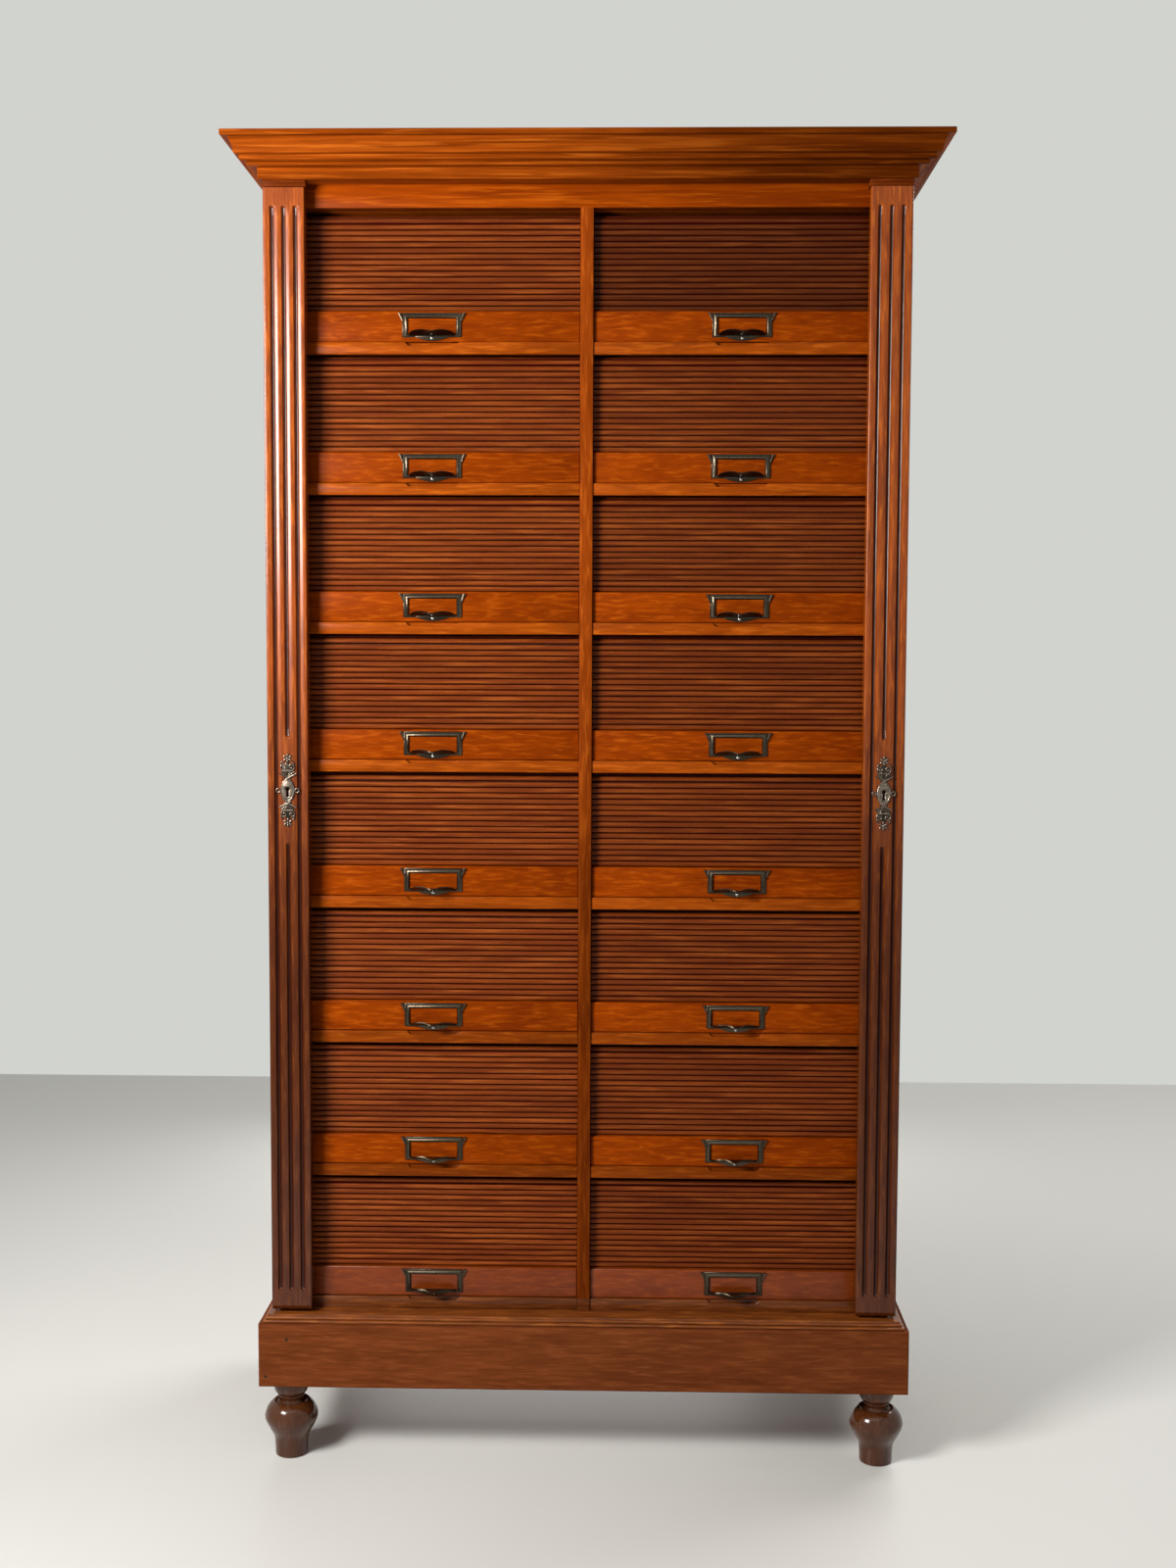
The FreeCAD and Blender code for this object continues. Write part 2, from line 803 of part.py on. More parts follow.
def flute(name, offset, low, high):
    """A round-bottomed channel that runs out at both ends, cut by a long pointed cutter."""
    sketch = new_sketch(
        pilaster,
        name,
        "XZ_Plane",
        x=f"pilaster_centre + ({offset})",
        z="flute_radius - flute_depth - pilaster_front",
    )
    outline(
        sketch,
        [
            ("0", low),
            ("flute_radius", f"{low} + flute_radius"),
            ("flute_radius", f"{high} - flute_radius"),
            ("0", high),
        ],
    )
    before = pilaster.Shape.Volume
    channel = pilaster.newObject("PartDesign::Groove", name + "_channel")
    channel.Profile = sketch
    channel.ReferenceAxis = (sketch, ["V_Axis"])
    channel.Angle = 360
    doc.recompute()
    assert pilaster.Shape.Volume < before - 1, f"{name} cuts nothing"
    return channel, sketch


flute_low = "pilaster_bottom + flute_margin"
flute_high = "pilaster_top - flute_margin"
outer_flute, outer_sketch = flute("outer_flute", "-flute_pitch", flute_low, flute_high)
repeat(pilaster, [outer_flute], outer_sketch, "H_Axis", "2 * flute_pitch", 2)
doc.recompute()
flute("upper_flute", "0", "keyhole_height + flute_break / 2", flute_high)
flute("lower_flute", "0", flute_low, "keyhole_height - flute_break / 2")
mortise = rectangle(
    new_sketch(
        pilaster, "lock_mortise", "XZ_Plane", x="pilaster_centre", y="keyhole_height", z="-pilaster_back"
    ),
    "-lock_width / 2",
    "lock_width / 2",
    "-lock_height / 2",
    "lock_height / 2",
)
pocket(pilaster, mortise, "lock_depth", True)
key_slot = rectangle(
    new_sketch(
        pilaster, "key_slot", "XZ_Plane", x="pilaster_centre", y="keyhole_height", z="-pilaster_front"
    ),
    "-keyhole_radius",
    "keyhole_radius",
    "-keyhole_length",
    "keyhole_radius * 1.6",
)
pocket(pilaster, key_slot, "pilaster_thickness")
for end, height, length, down in (
    ("foot", "pilaster_bottom", "pilaster_foot_gap + pivot_length / 2", True),
    ("head", "pilaster_top", "pilaster_head_gap + pivot_length / 2 - groove_play", False),
):
    pivot = round_hole(
        new_sketch(pilaster, f"pivot_{end}", "XY_Plane", z=height), "pivot_x", "pivot_y", "pivot_radius"
    )
    pad(pilaster, pivot, length, reverse=down)
node(group("pilaster_right", pilaster), "pilaster_right")
node(mirrored(pilaster), "pilaster_left")

# Escutcheon: a cast plate with a wide middle round the keyhole, an ear at each side and a lobe at each end.
half_high = "escutcheon_height / 2"
half_wide = "escutcheon_width / 2"
escutcheon = new_body("escutcheon")
plate = outline(
    new_sketch(
        escutcheon,
        "escutcheon_plate",
        "XZ_Plane",
        x="pilaster_centre",
        y="keyhole_height",
        z="-pilaster_front",
    ),
    [
        ("0", f"-({half_high})"),
        ("6", f"4 - {half_high}"),
        ("7", f"10 - {half_high}"),
        ("4", f"15 - {half_high}"),
        ("11", f"28 - {half_high}"),
        ("9", "-15"),
        ("12.5", "-4"),
        (half_wide, "-2"),
        (half_wide, "2"),
        ("12.5", "4"),
        ("9", "15"),
        ("11", f"{half_high} - 28"),
        ("4", f"{half_high} - 15"),
        ("7", f"{half_high} - 10"),
        ("6", f"{half_high} - 4"),
        ("0", half_high),
    ],
)
half_plate = pad(escutcheon, plate, "escutcheon_thickness")
whole_plate = escutcheon.newObject("PartDesign::Mirrored", "whole_plate")
whole_plate.Originals = [half_plate]
whole_plate.MirrorPlane = (plate, ["V_Axis"])
escutcheon.Tip = whole_plate
doc.recompute()
half_slot = "keyhole_slot / 2"
keyhole = outline(
    new_sketch(
        escutcheon, "keyhole", "XZ_Plane", x="pilaster_centre", y="keyhole_height", z="-pilaster_front"
    ),
    [
        (f"-({half_slot})", "-keyhole_length"),
        (half_slot, "-keyhole_length"),
        (half_slot, "0"),
        ("keyhole_radius", "keyhole_radius / 2", "keyhole_radius * 1.2", "ccw"),
        ("0", "keyhole_radius * 1.6", "keyhole_radius * 1.2", "ccw"),
        ("-keyhole_radius", "keyhole_radius / 2"),
        (f"-({half_slot})", "0"),
    ],
)
pocket(escutcheon, keyhole, "escutcheon_thickness", True)

# Lock: a plain case let into the back of the pilaster behind the keyhole.
lock_case = box(
    "lock_case",
    ("pilaster_centre - lock_width / 2", "pilaster_centre + lock_width / 2"),
    ("pilaster_back - lock_depth", "pilaster_back"),
    ("keyhole_height - lock_height / 2", "keyhole_height + lock_height / 2"),
)
fittings = group("fittings", escutcheon, lock_case)
node(group("lock_fittings_right", fittings), "lock_fittings_right")
node(mirrored(fittings), "lock_fittings_left")

# Shutter lath: a flat board with a thin tongue at each end that runs in the grooves.
lath = new_body("lath")
tongue = rectangle(
    new_sketch(lath, "lath_tongue", "YZ_Plane"), "slat_front", "canvas_back", "lath_gap", "lath_top"
)
pad(lath, tongue, "tongue_span", symmetric=True)
face = outline(
    new_sketch(lath, "lath_face", "YZ_Plane"),
    [
        ("slat_front", "lath_gap"),
        ("slat_front", "lath_top"),
        ("lath_front + lath_arris", "lath_top"),
        ("lath_front", "lath_top - lath_arris"),
        ("lath_front", "lath_gap + lath_arris"),
        ("lath_front + lath_arris", "lath_gap"),
    ],
)
pad(lath, face, "face_span", symmetric=True)


def slat_outline(sketch, bottom, back):
    """A half-round slat: its sides slope from the edges of the flat back to a narrower crest."""
    crest = f"{back} - slat_thickness"
    return outline(
        sketch,
        [
            (back, bottom),
            (back, f"{bottom} + slat_height"),
            (crest, f"{bottom} + slat_height - slat_bevel"),
            (crest, f"{bottom} + slat_bevel"),
        ],
    )


# Tambour curtain: straight slats up the front, two slats round the bend, and the canvas that holds them.
slats = new_body("slats")
slat_sketch = slat_outline(
    new_sketch(slats, "slat_section", "YZ_Plane", y="lath_top + slat_gap"), "0", "slat_back"
)
first_slat = pad(slats, slat_sketch, "tongue_span", symmetric=True)
repeat(slats, [first_slat], slat_sketch, "V_Axis", "(slat_count - 1) * slat_pitch", "slat_count")

bent_slats = new_body("bent_slats")
bent_sketch = slat_outline(
    new_sketch(
        bent_slats,
        "bent_slat_section",
        "YZ_Plane",
        x="bend_y",
        y="bend_start",
        turn=(FreeCAD.Vector(0, 0, 1), "-bend_step / 2"),
    ),
    "-slat_height / 2",
    "-bend_apothem",
)
first_bent = pad(bent_slats, bent_sketch, "tongue_span", symmetric=True)
bent_row = bent_slats.newObject("PartDesign::PolarPattern", "bent_row")
bent_row.Originals = [first_bent]
bent_row.Axis = (bent_sketch, ["N_Axis"])
bent_row.Reversed = True
bind(bent_row, Angle="bend_step * (bent_slat_count - 1)", Occurrences="bent_slat_count")
bent_slats.Tip = bent_row

canvas = new_body("canvas")
inner_bend = "(bend_apothem - canvas_thickness) / cos(bend_step / 2)"
bend_corners = range(1, SIZES["bent_slat_count"] + 1)


def on_bend(radius, corner):
    """A point on the bend, as many slats round it as the corner's number."""
    return (
        f"bend_y - {radius} * cos({corner} * bend_step)",
        f"bend_start + {radius} * sin({corner} * bend_step)",
    )


canvas_sketch = outline(
    new_sketch(canvas, "canvas_section", "YZ_Plane"),
    [
        ("slat_back", "lath_top"),
        ("canvas_back", "lath_top"),
        ("canvas_back", "bend_start - canvas_thickness * tan(bend_step / 4)"),
        *[on_bend(f"({inner_bend})", corner) for corner in bend_corners],
        *[on_bend("bend_radius", corner) for corner in reversed(bend_corners)],
        ("slat_back", "bend_start"),
    ],
)
pad(canvas, canvas_sketch, "bay_width - 2 * side_play", symmetric=True)
curtain = group("curtain", slats, bent_slats, canvas)


def half_pull(corners):
    """An outline closed by its own mirror image: corners run up the right-hand half from the middle."""
    other = []
    for number, corner in reversed(list(enumerate(corners))):
        arc = corners[number - 1][2:] if number else ()
        other.append((f"-({corner[0]})", corner[1], *arc))
    return [*corners, *other]


# Pull: a card frame with flared ears, a lobed tab for its screw, and a bowed finger lip.
pull = new_body("pull")
ear_foot = "pull_top - pull_ear_height"
frame_corners = [
    ("pull_tab_width / 6", "pull_bottom - pull_tab_drop"),
    ("pull_tab_width / 3", "pull_bottom - pull_tab_drop * 0.7"),
    ("pull_tab_width / 2", "pull_bottom"),
    ("pull_half - pull_corner", "pull_bottom"),
    ("pull_half", "pull_bottom + pull_corner"),
    ("pull_half", ear_foot),
    ("pull_half + pull_ear_reach", "pull_top"),
    ("pull_half + pull_ear_reach - pull_ear_width", "pull_top"),
    ("pull_half", "pull_top - pull_notch"),
    ("pull_half", "pull_top"),
]
outer = half_pull(frame_corners)
frame_sketch = outline(new_sketch(pull, "pull_frame", "XZ_Plane", z="-lath_front"), outer)
rectangle(
    frame_sketch,
    "pull_bar - pull_half",
    "pull_half - pull_bar",
    "pull_bottom + pull_sill",
    "pull_top - pull_top_bar",
)
pad(pull, frame_sketch, "pull_thickness")
lip_half = "lip_width / 2"
lip_corners = [
    (f"-({lip_half})", "0"),
    (f"-({lip_half})", "-lip_reach * 0.5"),
    (f"-({lip_half}) * 0.8", "-lip_reach * 0.88"),
    (f"-({lip_half}) * 0.5", "-lip_reach"),
    ("0", "lip_dip - lip_reach"),
    (f"{lip_half} * 0.5", "-lip_reach"),
    (f"{lip_half} * 0.8", "-lip_reach * 0.88"),
    (lip_half, "-lip_reach * 0.5"),
    (lip_half, "0"),
]
lip_sketch = outline(
    new_sketch(
        pull,
        "pull_lip",
        "XY_Plane",
        y="lip_rear",
        z="pull_bottom + lip_rise",
        turn=(FreeCAD.Vector(1, 0, 0), "-lip_tilt"),
    ),
    lip_corners,
)
pad(pull, lip_sketch, "lip_thickness")

# The sixteen shutters, row 1 at the top: lath, curtain and pull of each.
for side, sign in SIDES.items():
    for row in range(1, ROWS + 1):
        for name, master in (("lath", lath), ("tambour", curtain), ("pull", pull)):
            copy = group(f"{name}_{side}_{row}", master)
            node(place(copy, f"{sign} * bay_centre", z=row_floor(row)), f"{name}_{side}_{row}")

doc.recompute()
for thing in doc.Objects:
    assert not {"Invalid", "Error"} & set(thing.State), f"{thing.Name}: {thing.State}"
for thing in NODES:
    shape = thing.Shape
    assert not shape.isNull() and shape.isValid(), f"{thing.Label} has no valid shape"
os.makedirs("parts", exist_ok=True)
for thing in NODES:
    solids = Part.Compound(thing.Shape.Solids)
    solids.exportStep(f"parts/{thing.Label}.step")
print(len(NODES), "nodes written")
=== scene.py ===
"""Tambour filing cabinet in polished mahogany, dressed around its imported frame."""
import bmesh
import bpy
import math
from mathutils import Matrix, Vector


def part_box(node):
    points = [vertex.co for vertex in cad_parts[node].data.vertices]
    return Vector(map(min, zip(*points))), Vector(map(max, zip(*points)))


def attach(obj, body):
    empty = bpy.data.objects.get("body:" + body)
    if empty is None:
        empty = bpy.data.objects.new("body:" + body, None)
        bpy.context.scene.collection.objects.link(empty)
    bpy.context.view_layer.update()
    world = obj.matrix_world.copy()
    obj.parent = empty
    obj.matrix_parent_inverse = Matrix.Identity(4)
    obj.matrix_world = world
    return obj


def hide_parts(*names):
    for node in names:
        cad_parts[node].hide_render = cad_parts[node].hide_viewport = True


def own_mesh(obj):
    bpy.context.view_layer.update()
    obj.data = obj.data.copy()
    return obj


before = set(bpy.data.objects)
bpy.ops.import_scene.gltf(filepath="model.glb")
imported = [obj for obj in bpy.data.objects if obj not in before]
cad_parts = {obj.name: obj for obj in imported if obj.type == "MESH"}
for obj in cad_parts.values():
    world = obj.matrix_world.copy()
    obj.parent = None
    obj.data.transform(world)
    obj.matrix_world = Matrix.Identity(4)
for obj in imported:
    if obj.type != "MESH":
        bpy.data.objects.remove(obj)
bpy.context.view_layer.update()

# Viewpoint: an ordinary lens a little above the middle of the front, aimed slightly down.
# The picture is taken as 1200 wide and 1600 high, and the focal length is in its pixels.
MM = 0.001
PICTURE_HEIGHT = 1600
FOCAL_PIXELS = 1800
SENSOR_HEIGHT = 36
EYE = Vector((57.8, -2516.9, 1096.5)) * MM
TILT = math.radians(3.99)
YAW = math.radians(-1.30)
ROLL = math.radians(0.22)

scene = bpy.context.scene
lens = bpy.data.cameras.new("viewpoint")
lens.sensor_fit = "VERTICAL"
lens.sensor_height = SENSOR_HEIGHT
lens.lens = FOCAL_PIXELS / PICTURE_HEIGHT * SENSOR_HEIGHT
viewpoint = bpy.data.objects.new("viewpoint", lens)
aim = Matrix.Rotation(-YAW, 4, "Z") @ Matrix.Rotation(math.pi / 2 - TILT, 4, "X")
viewpoint.matrix_world = Matrix.Translation(EYE) @ aim @ Matrix.Rotation(ROLL, 4, "Z")
scene.collection.objects.link(viewpoint)
scene.camera = viewpoint

# Room: a pale glossy floor that stops at the foot of a pale wall, which is the world's own colour.
# One soft lamp stands to the left, level with the top row; weak ones overhead and behind light the floor.
FLOOR_REACH = 7
WALL_LINE = 2.05
PAINT_TONES = (0.79, 0.79, 0.75), (0.88, 0.88, 0.85)
WALL_COLOUR = (0.64, 0.65, 0.62)
AMBIENT_COLOUR, AMBIENT = (1.0, 0.98, 0.95), 0.13
LAMP_COLOUR = (1.0, 0.985, 0.96)
LAMPS = {
    "window_left": {"at": (-1.32, -1.45, 1.57), "aim": (0, 0, 1.15), "size": (0.7, 0.6), "power": 58},
    "ceiling": {"at": (-0.2, -2.4, 3.4), "aim": (0, 0.2, 0.6), "size": (2.6, 1.2), "power": 8},
    "window_behind": {"at": (1.7, 1.5, 2.6), "aim": (0.9, -0.2, 0), "size": (1.8, 1.2), "power": 46},
    "low_behind": {"at": (-0.1, 1.6, 0.5), "aim": (0, 0, 0.03), "size": (0.9, 0.4), "power": 4},
}


def set_inputs(tree, node, inputs):
    """Set a node's inputs, by name or place, each to a value or to another node's output."""
    for place, value in inputs.items():
        if isinstance(value, bpy.types.NodeSocket):
            tree.links.new(value, node.inputs[place])
        else:
            node.inputs[place].default_value = value


def add_node(tree, kind, inputs=None, **settings):
    """A new node in a tree, with its settings and its inputs."""
    node = tree.nodes.new(kind)
    for name, value in settings.items():
        setattr(node, name, value)
    set_inputs(tree, node, inputs or {})
    return node


def worked_out(tree, operation, *values):
    """The result of a sum on values, each a number or another node's output."""
    return add_node(tree, "ShaderNodeMath", dict(enumerate(values)), operation=operation).outputs[0]


def between_tones(tree, share, tones):
    """The colour between two tones, by a share from 0 to 1."""
    ramp = add_node(tree, "ShaderNodeValToRGB", {"Fac": share})
    for stop, tone in zip(ramp.color_ramp.elements, tones):
        stop.color = (*tone, 1)
    return ramp.outputs["Color"]


def new_material(name):
    """A material, its node tree, its Principled shader and the place of each point on the object."""
    material = bpy.data.materials.new(name)
    material.use_nodes = True
    tree = material.node_tree
    place = add_node(tree, "ShaderNodeTexCoord").outputs["Object"]
    return material, tree, tree.nodes["Principled BSDF"], place


def mesh_from(bm, name, crisp):
    """A mesh from a bmesh, smooth where its faces meet at less than the crisp angle."""
    bmesh.ops.recalc_face_normals(bm, faces=bm.faces)
    mesh = bpy.data.meshes.new(name)
    bm.to_mesh(mesh)
    bm.free()
    mesh.shade_smooth()
    mesh.set_sharp_from_angle(angle=math.radians(crisp))
    return mesh


def new_object(name, shape, *materials, crisp=35):
    """An object at the origin that holds a bmesh or a finished mesh."""
    mesh = shape if isinstance(shape, bpy.types.Mesh) else mesh_from(shape, name, crisp)
    thing = bpy.data.objects.new(name, mesh)
    scene.collection.objects.link(thing)
    for material in materials:
        mesh.materials.append(material)
    return thing


floor_paint, tree, shader, place = new_material("pale_floor")
cloud = add_node(tree, "ShaderNodeTexNoise", {"Vector": place, "Scale": 0.9, "Detail": 4})
paint = between_tones(tree, cloud.outputs["Fac"], PAINT_TONES)
set_inputs(tree, shader, {"Base Color": paint, "Roughness": 0.34, "Specular IOR Level": 0.30})
bm = bmesh.new()
near, far = -FLOOR_REACH, WALL_LINE
rim = [(-FLOOR_REACH, near), (FLOOR_REACH, near), (FLOOR_REACH, far), (-FLOOR_REACH, far)]
bm.faces.new([bm.verts.new((x, y, 0)) for x, y in rim])
floor = new_object("floor", bm, floor_paint)

world = bpy.data.worlds.new("room")
scene.world = world
world.use_nodes = True
sky = world.node_tree
sky.nodes.clear()
rays = add_node(sky, "ShaderNodeLightPath").outputs
seen = worked_out(sky, "MAXIMUM", rays["Is Camera Ray"], rays["Is Glossy Ray"])
seen = worked_out(sky, "MAXIMUM", seen, rays["Is Transmission Ray"])
ambient = add_node(sky, "ShaderNodeBackground", {"Color": (*AMBIENT_COLOUR, 1), "Strength": AMBIENT})
wall = add_node(sky, "ShaderNodeBackground", {"Color": (*WALL_COLOUR, 1)})
either = add_node(sky, "ShaderNodeMixShader", {0: seen, 1: ambient.outputs[0], 2: wall.outputs[0]})
add_node(sky, "ShaderNodeOutputWorld", {"Surface": either.outputs[0]})

for name, lamp in LAMPS.items():
    light = bpy.data.lights.new(name, "AREA")
    light.shape = "RECTANGLE"
    light.size, light.size_y = lamp["size"]
    light.energy = lamp["power"]
    light.color = LAMP_COLOUR
    holder = bpy.data.objects.new(name, light)
    holder.location = lamp["at"]
    aim = Vector(lamp["aim"]) - Vector(lamp["at"])
    holder.rotation_euler = aim.to_track_quat("-Z", "Y").to_euler()
    holder.visible_camera = False
    scene.collection.objects.link(holder)
scene.view_settings.view_transform = "Standard"

# Feet: turned from dark polished wood, a bulb on a straight ankle, with a dished top, a neck and a collar.
# Each is turned in one piece and fixed under a corner of the plinth.
FOOT_SEGMENTS = 64
BULB_RADIUS = 36.3
SOLE = [(0, 0), (20.3, 0), (22.0, 0.8)]
ANKLE = [(22.4, 3), (22.6, 13), (24.4, 27)]
BULB = [(31.5, 40.5), (BULB_RADIUS, 52.5), (34.8, 62), (31, 69.2), (26.2, 73.8)]
DISH = [(24.2, 75.2), (23, 75.6), (21.4, 74.8), (19.2, 74), (17.6, 74.6)]
NECK_RING = [(16.9, 76.6), (16.9, 80.4), (17.6, 81.8), (18.3, 82.8), (17.9, 83.8)]
COLLAR = [(18.2, 84.4), (20.8, 87.2), (22.8, 91), (24.4, 97), (24.8, 104)]
FOOT_TONES = (0.058, 0.016, 0.004), (0.090, 0.026, 0.007), (0.115, 0.036, 0.010)
PORE_TONE = (0.02, 0.004, 0.001)
GRAIN_TURN = {"x": (0, 0, 0), "y": (0, 0, math.pi / 2), "z": (0, math.pi / 2, 0)}
SURFACE = {"Color": "Color", "Roughness": "Float", "Height": "Float"}


def smooth(points, steps=5):
    """A smooth line through points."""
    line = []
    ends = [points[0], *points, points[-1]]
    for before, start, end, after in zip(ends, ends[1:], ends[2:], ends[3:]):
        for step in range(steps):
            t = step / steps
            spot = []
            for a, b, c, d in zip(before, start, end, after):
                bow = (2 * a - 5 * b + 4 * c - d) * t**2 + (3 * b - a - 3 * c + d) * t**3
                spot.append(b + ((c - a) * t + bow) / 2)
            line.append(tuple(spot))
    return line + [points[-1]]


def new_group(name, kind, inputs, outputs):
    """A node group with named sockets: its tree, what it is given, and the node that takes its results."""
    tree = bpy.data.node_groups.new(name, kind)
    for way, sockets in (("INPUT", inputs), ("OUTPUT", outputs)):
        for socket, sort in sockets.items():
            tree.interface.new_socket(socket, in_out=way, socket_type=f"NodeSocket{sort}")
    return tree, add_node(tree, "NodeGroupInput").outputs, add_node(tree, "NodeGroupOutput")


def ranged(tree, value, start, end, low=0, high=1, **settings):
    """A value carried over from one range to another."""
    inputs = {"Value": value, "From Min": start, "From Max": end, "To Min": low, "To Max": high}
    return add_node(tree, "ShaderNodeMapRange", inputs, **settings).outputs["Result"]


def blended(tree, share, first, second, **settings):
    """A share of the second colour over the first."""
    values = {0: share, 6: first, 7: second}
    return add_node(tree, "ShaderNodeMix", values, data_type="RGBA", **settings).outputs[2]


def figured_timber_group():
    """Mahogany figure: broad ribbons of tone, fine streaks and short dark pores along the grain (its X)."""
    inputs = {
        "Grain": "Vector", "Dark": "Color", "Middle": "Color", "Light": "Color", "Ribbon": "Float",
        "Sheen Low": "Float", "Sheen High": "Float",
    }
    tree, given, result = new_group("figured_timber", "ShaderNodeTree", inputs, SURFACE)

    def noise(scale, detail, distortion, stretch):
        values = {0: given["Grain"], 1: (stretch, 1, 1)}
        along = add_node(tree, "ShaderNodeVectorMath", values, operation="MULTIPLY").outputs["Vector"]
        values = {"Vector": along, "Scale": scale, "Detail": detail, "Distortion": distortion}
        return add_node(tree, "ShaderNodeTexNoise", values).outputs["Fac"]

    broad, streak, pore = noise(34, 3, 1.6, 0.7), noise(260, 5, 0.5, 0.5), noise(1100, 2, 0, 0.3)
    fine = ranged(tree, streak, 0.30, 0.70, -0.20, 0.50)
    ribbon = worked_out(tree, "MULTIPLY_ADD", ranged(tree, broad, 0.32, 0.68), given["Ribbon"], fine)
    base = blended(tree, ribbon, given["Dark"], given["Middle"])
    lit = blended(tree, ranged(tree, streak, 0.52, 0.78, 0, 0.9), base, given["Light"])
    pored = blended(tree, ranged(tree, pore, 0.60, 0.76, 0, 0.30), lit, (*PORE_TONE, 1))
    values = {0: streak, 2: given["Sheen Low"], 3: given["Sheen High"]}
    sheen = add_node(tree, "ShaderNodeMix", values).outputs[0]
    height = ranged(tree, pore, 0.45, 0.75, 1, 0)
    set_inputs(tree, result, {"Color": pored, "Roughness": sheen, "Height": height})
    return tree


def dress(tree, shader, surface, strength, distance, others):
    """Give a shader the colour, roughness and fine relief of a surface group, and its other inputs."""
    values = {"Height": surface["Height"], "Strength": strength, "Distance": distance * MM}
    relief = add_node(tree, "ShaderNodeBump", values).outputs["Normal"]
    values = {"Base Color": surface["Color"], "Roughness": surface["Roughness"], "Normal": relief}
    set_inputs(tree, shader, values | others)


figured_timber = figured_timber_group()


def polished_timber(
    name, along, tones, ribbon=0.7, sheen=(0.24, 0.36), gloss=0.015, coat=0.0, stretch=0.2, shade_to=1.0,
    shade_along="Z", shade_span=(0.65, 1.2),
):
    """Polished wood in three tones, its grain along one axis, with painted shade to a share at a span's
    start.
    """
    material, tree, shader, place = new_material(name)
    values = {"Vector": place, "Rotation": GRAIN_TURN[along]}
    turn = add_node(tree, "ShaderNodeMapping", values, vector_type="TEXTURE").outputs["Vector"]
    grain = add_node(tree, "ShaderNodeMapping", {"Vector": turn, "Scale": (stretch, 1, 1)}).outputs["Vector"]
    values = {"Grain": grain, "Ribbon": ribbon, "Sheen Low": sheen[0], "Sheen High": sheen[1]}
    values |= {socket: (*tone, 1) for socket, tone in zip(("Dark", "Middle", "Light"), tones)}
    figure = add_node(tree, "ShaderNodeGroup", values, node_tree=figured_timber).outputs
    spot = add_node(tree, "ShaderNodeSeparateXYZ", {"Vector": place}).outputs[shade_along]
    # Painted shade: the colour is multiplied down towards the start of the span, where the light falls off.
    falloff_shade = ranged(tree, spot, *shade_span, shade_to, interpolation_type="SMOOTHSTEP")
    falloff_coloured = blended(tree, 1, figure["Color"], falloff_shade, blend_type="MULTIPLY")
    polish = {"Base Color": falloff_coloured, "Specular IOR Level": gloss, "Coat Weight": coat, "Coat Roughness": 0.08}
    dress(tree, shader, figure, strength=0.06, distance=0.3, others=polish)
    return material


def bridged(bm, low, high):
    """Faces between two closed rings of points, of which one may be a single point."""
    count = max(len(low), len(high))
    faces = []
    for step in range(count):
        after = (step + 1) % count
        loop = [low[step % len(low)], low[after % len(low)], high[after % len(high)], high[step % len(high)]]
        faces.append(bm.faces.new(list(dict.fromkeys(loop))))
    return faces


def skinned(bm, rings):
    """A solid through a stack of rings of points, in millimetres; a ring may be a single point."""
    stack = [[bm.verts.new(Vector(spot) * MM) for spot in ring] for ring in rings]
    for low, high in zip(stack, stack[1:]):
        bridged(bm, low, high)
    for ring in (stack[0], stack[-1]):
        if len(ring) > 1:
            bm.faces.new(ring)


def lathe(bm, outline, centre, segments):
    """Turn a closed outline of (radius, height) about an upright line, in millimetres."""
    x, y = centre
    rings = []
    for radius, height in outline:
        turns = [2 * math.pi * step / segments for step in range(segments if radius else 1)]
        rings.append([(x + radius * math.cos(t), y + radius * math.sin(t), height) for t in turns])
    skinned(bm, rings)


def corners(node):
    """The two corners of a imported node's box, in millimetres."""
    return [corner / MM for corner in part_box(node)]


def settle(piece, body, node=None):
    """Let a piece ride on a body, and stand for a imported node."""
    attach(piece, body)
    if node:
        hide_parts(node)


dark_polish = polished_timber("dark_foot_polish", "z", FOOT_TONES, sheen=(0.10, 0.18), gloss=0.3, coat=0.25)
feet_low, feet_high = corners("feet")
foot_outline = SOLE + smooth(ANKLE + BULB) + DISH + NECK_RING + smooth(COLLAR, 4)
foot_outline += [(COLLAR[-1][0], feet_high.z), (0, feet_high.z)]
bm = bmesh.new()
for x in (feet_low.x + BULB_RADIUS, feet_high.x - BULB_RADIUS):
    for y in (feet_low.y + BULB_RADIUS, feet_high.y - BULB_RADIUS):
        lathe(bm, foot_outline, (x, y), FOOT_SEGMENTS)
settle(new_object("turned_feet", bm, dark_polish, crisp=50), "cabinet", "feet")

# Plinth: four boards round glued corner blocks, plain-faced with rounded arrises, nailed at the left end.
# The base board lies on them, its edge worked into two beads that step back upwards, mitred at the corners.
PLINTH_OVER = 16.5
PLINTH_BOARD = 20
PLINTH_ROUND, RETURN_ROUND, REAR_ROUND, BLOCK_ROUND = 3.5, 0.6, 0.8, 1
BASE_HEIGHT = 11
CORNER_BLOCK, CORNER_BLOCK_HIGH = 50, 60
PLINTH_TONES = (0.12, 0.029, 0.008), (0.185, 0.047, 0.013), (0.23, 0.065, 0.018)
PINE_TONES = (0.16, 0.075, 0.030), (0.25, 0.125, 0.055), (0.33, 0.18, 0.085)
BASE_TONES = (0.12, 0.029, 0.005), (0.25, 0.064, 0.009), (0.38, 0.112, 0.016)

plinth_red = polished_timber("plinth_mahogany", "x", PLINTH_TONES, sheen=(0.34, 0.48))
plinth_return = polished_timber("plinth_return_mahogany", "y", PLINTH_TONES, sheen=(0.34, 0.48))
base_red = polished_timber("base_mahogany", "x", BASE_TONES, gloss=0.25, coat=0.15)
base_return = polished_timber("base_return_mahogany", "y", BASE_TONES, gloss=0.25, coat=0.15)
carcase_pine = polished_timber("plain_carcase_wood", "z", PINE_TONES, sheen=(0.5, 0.65))


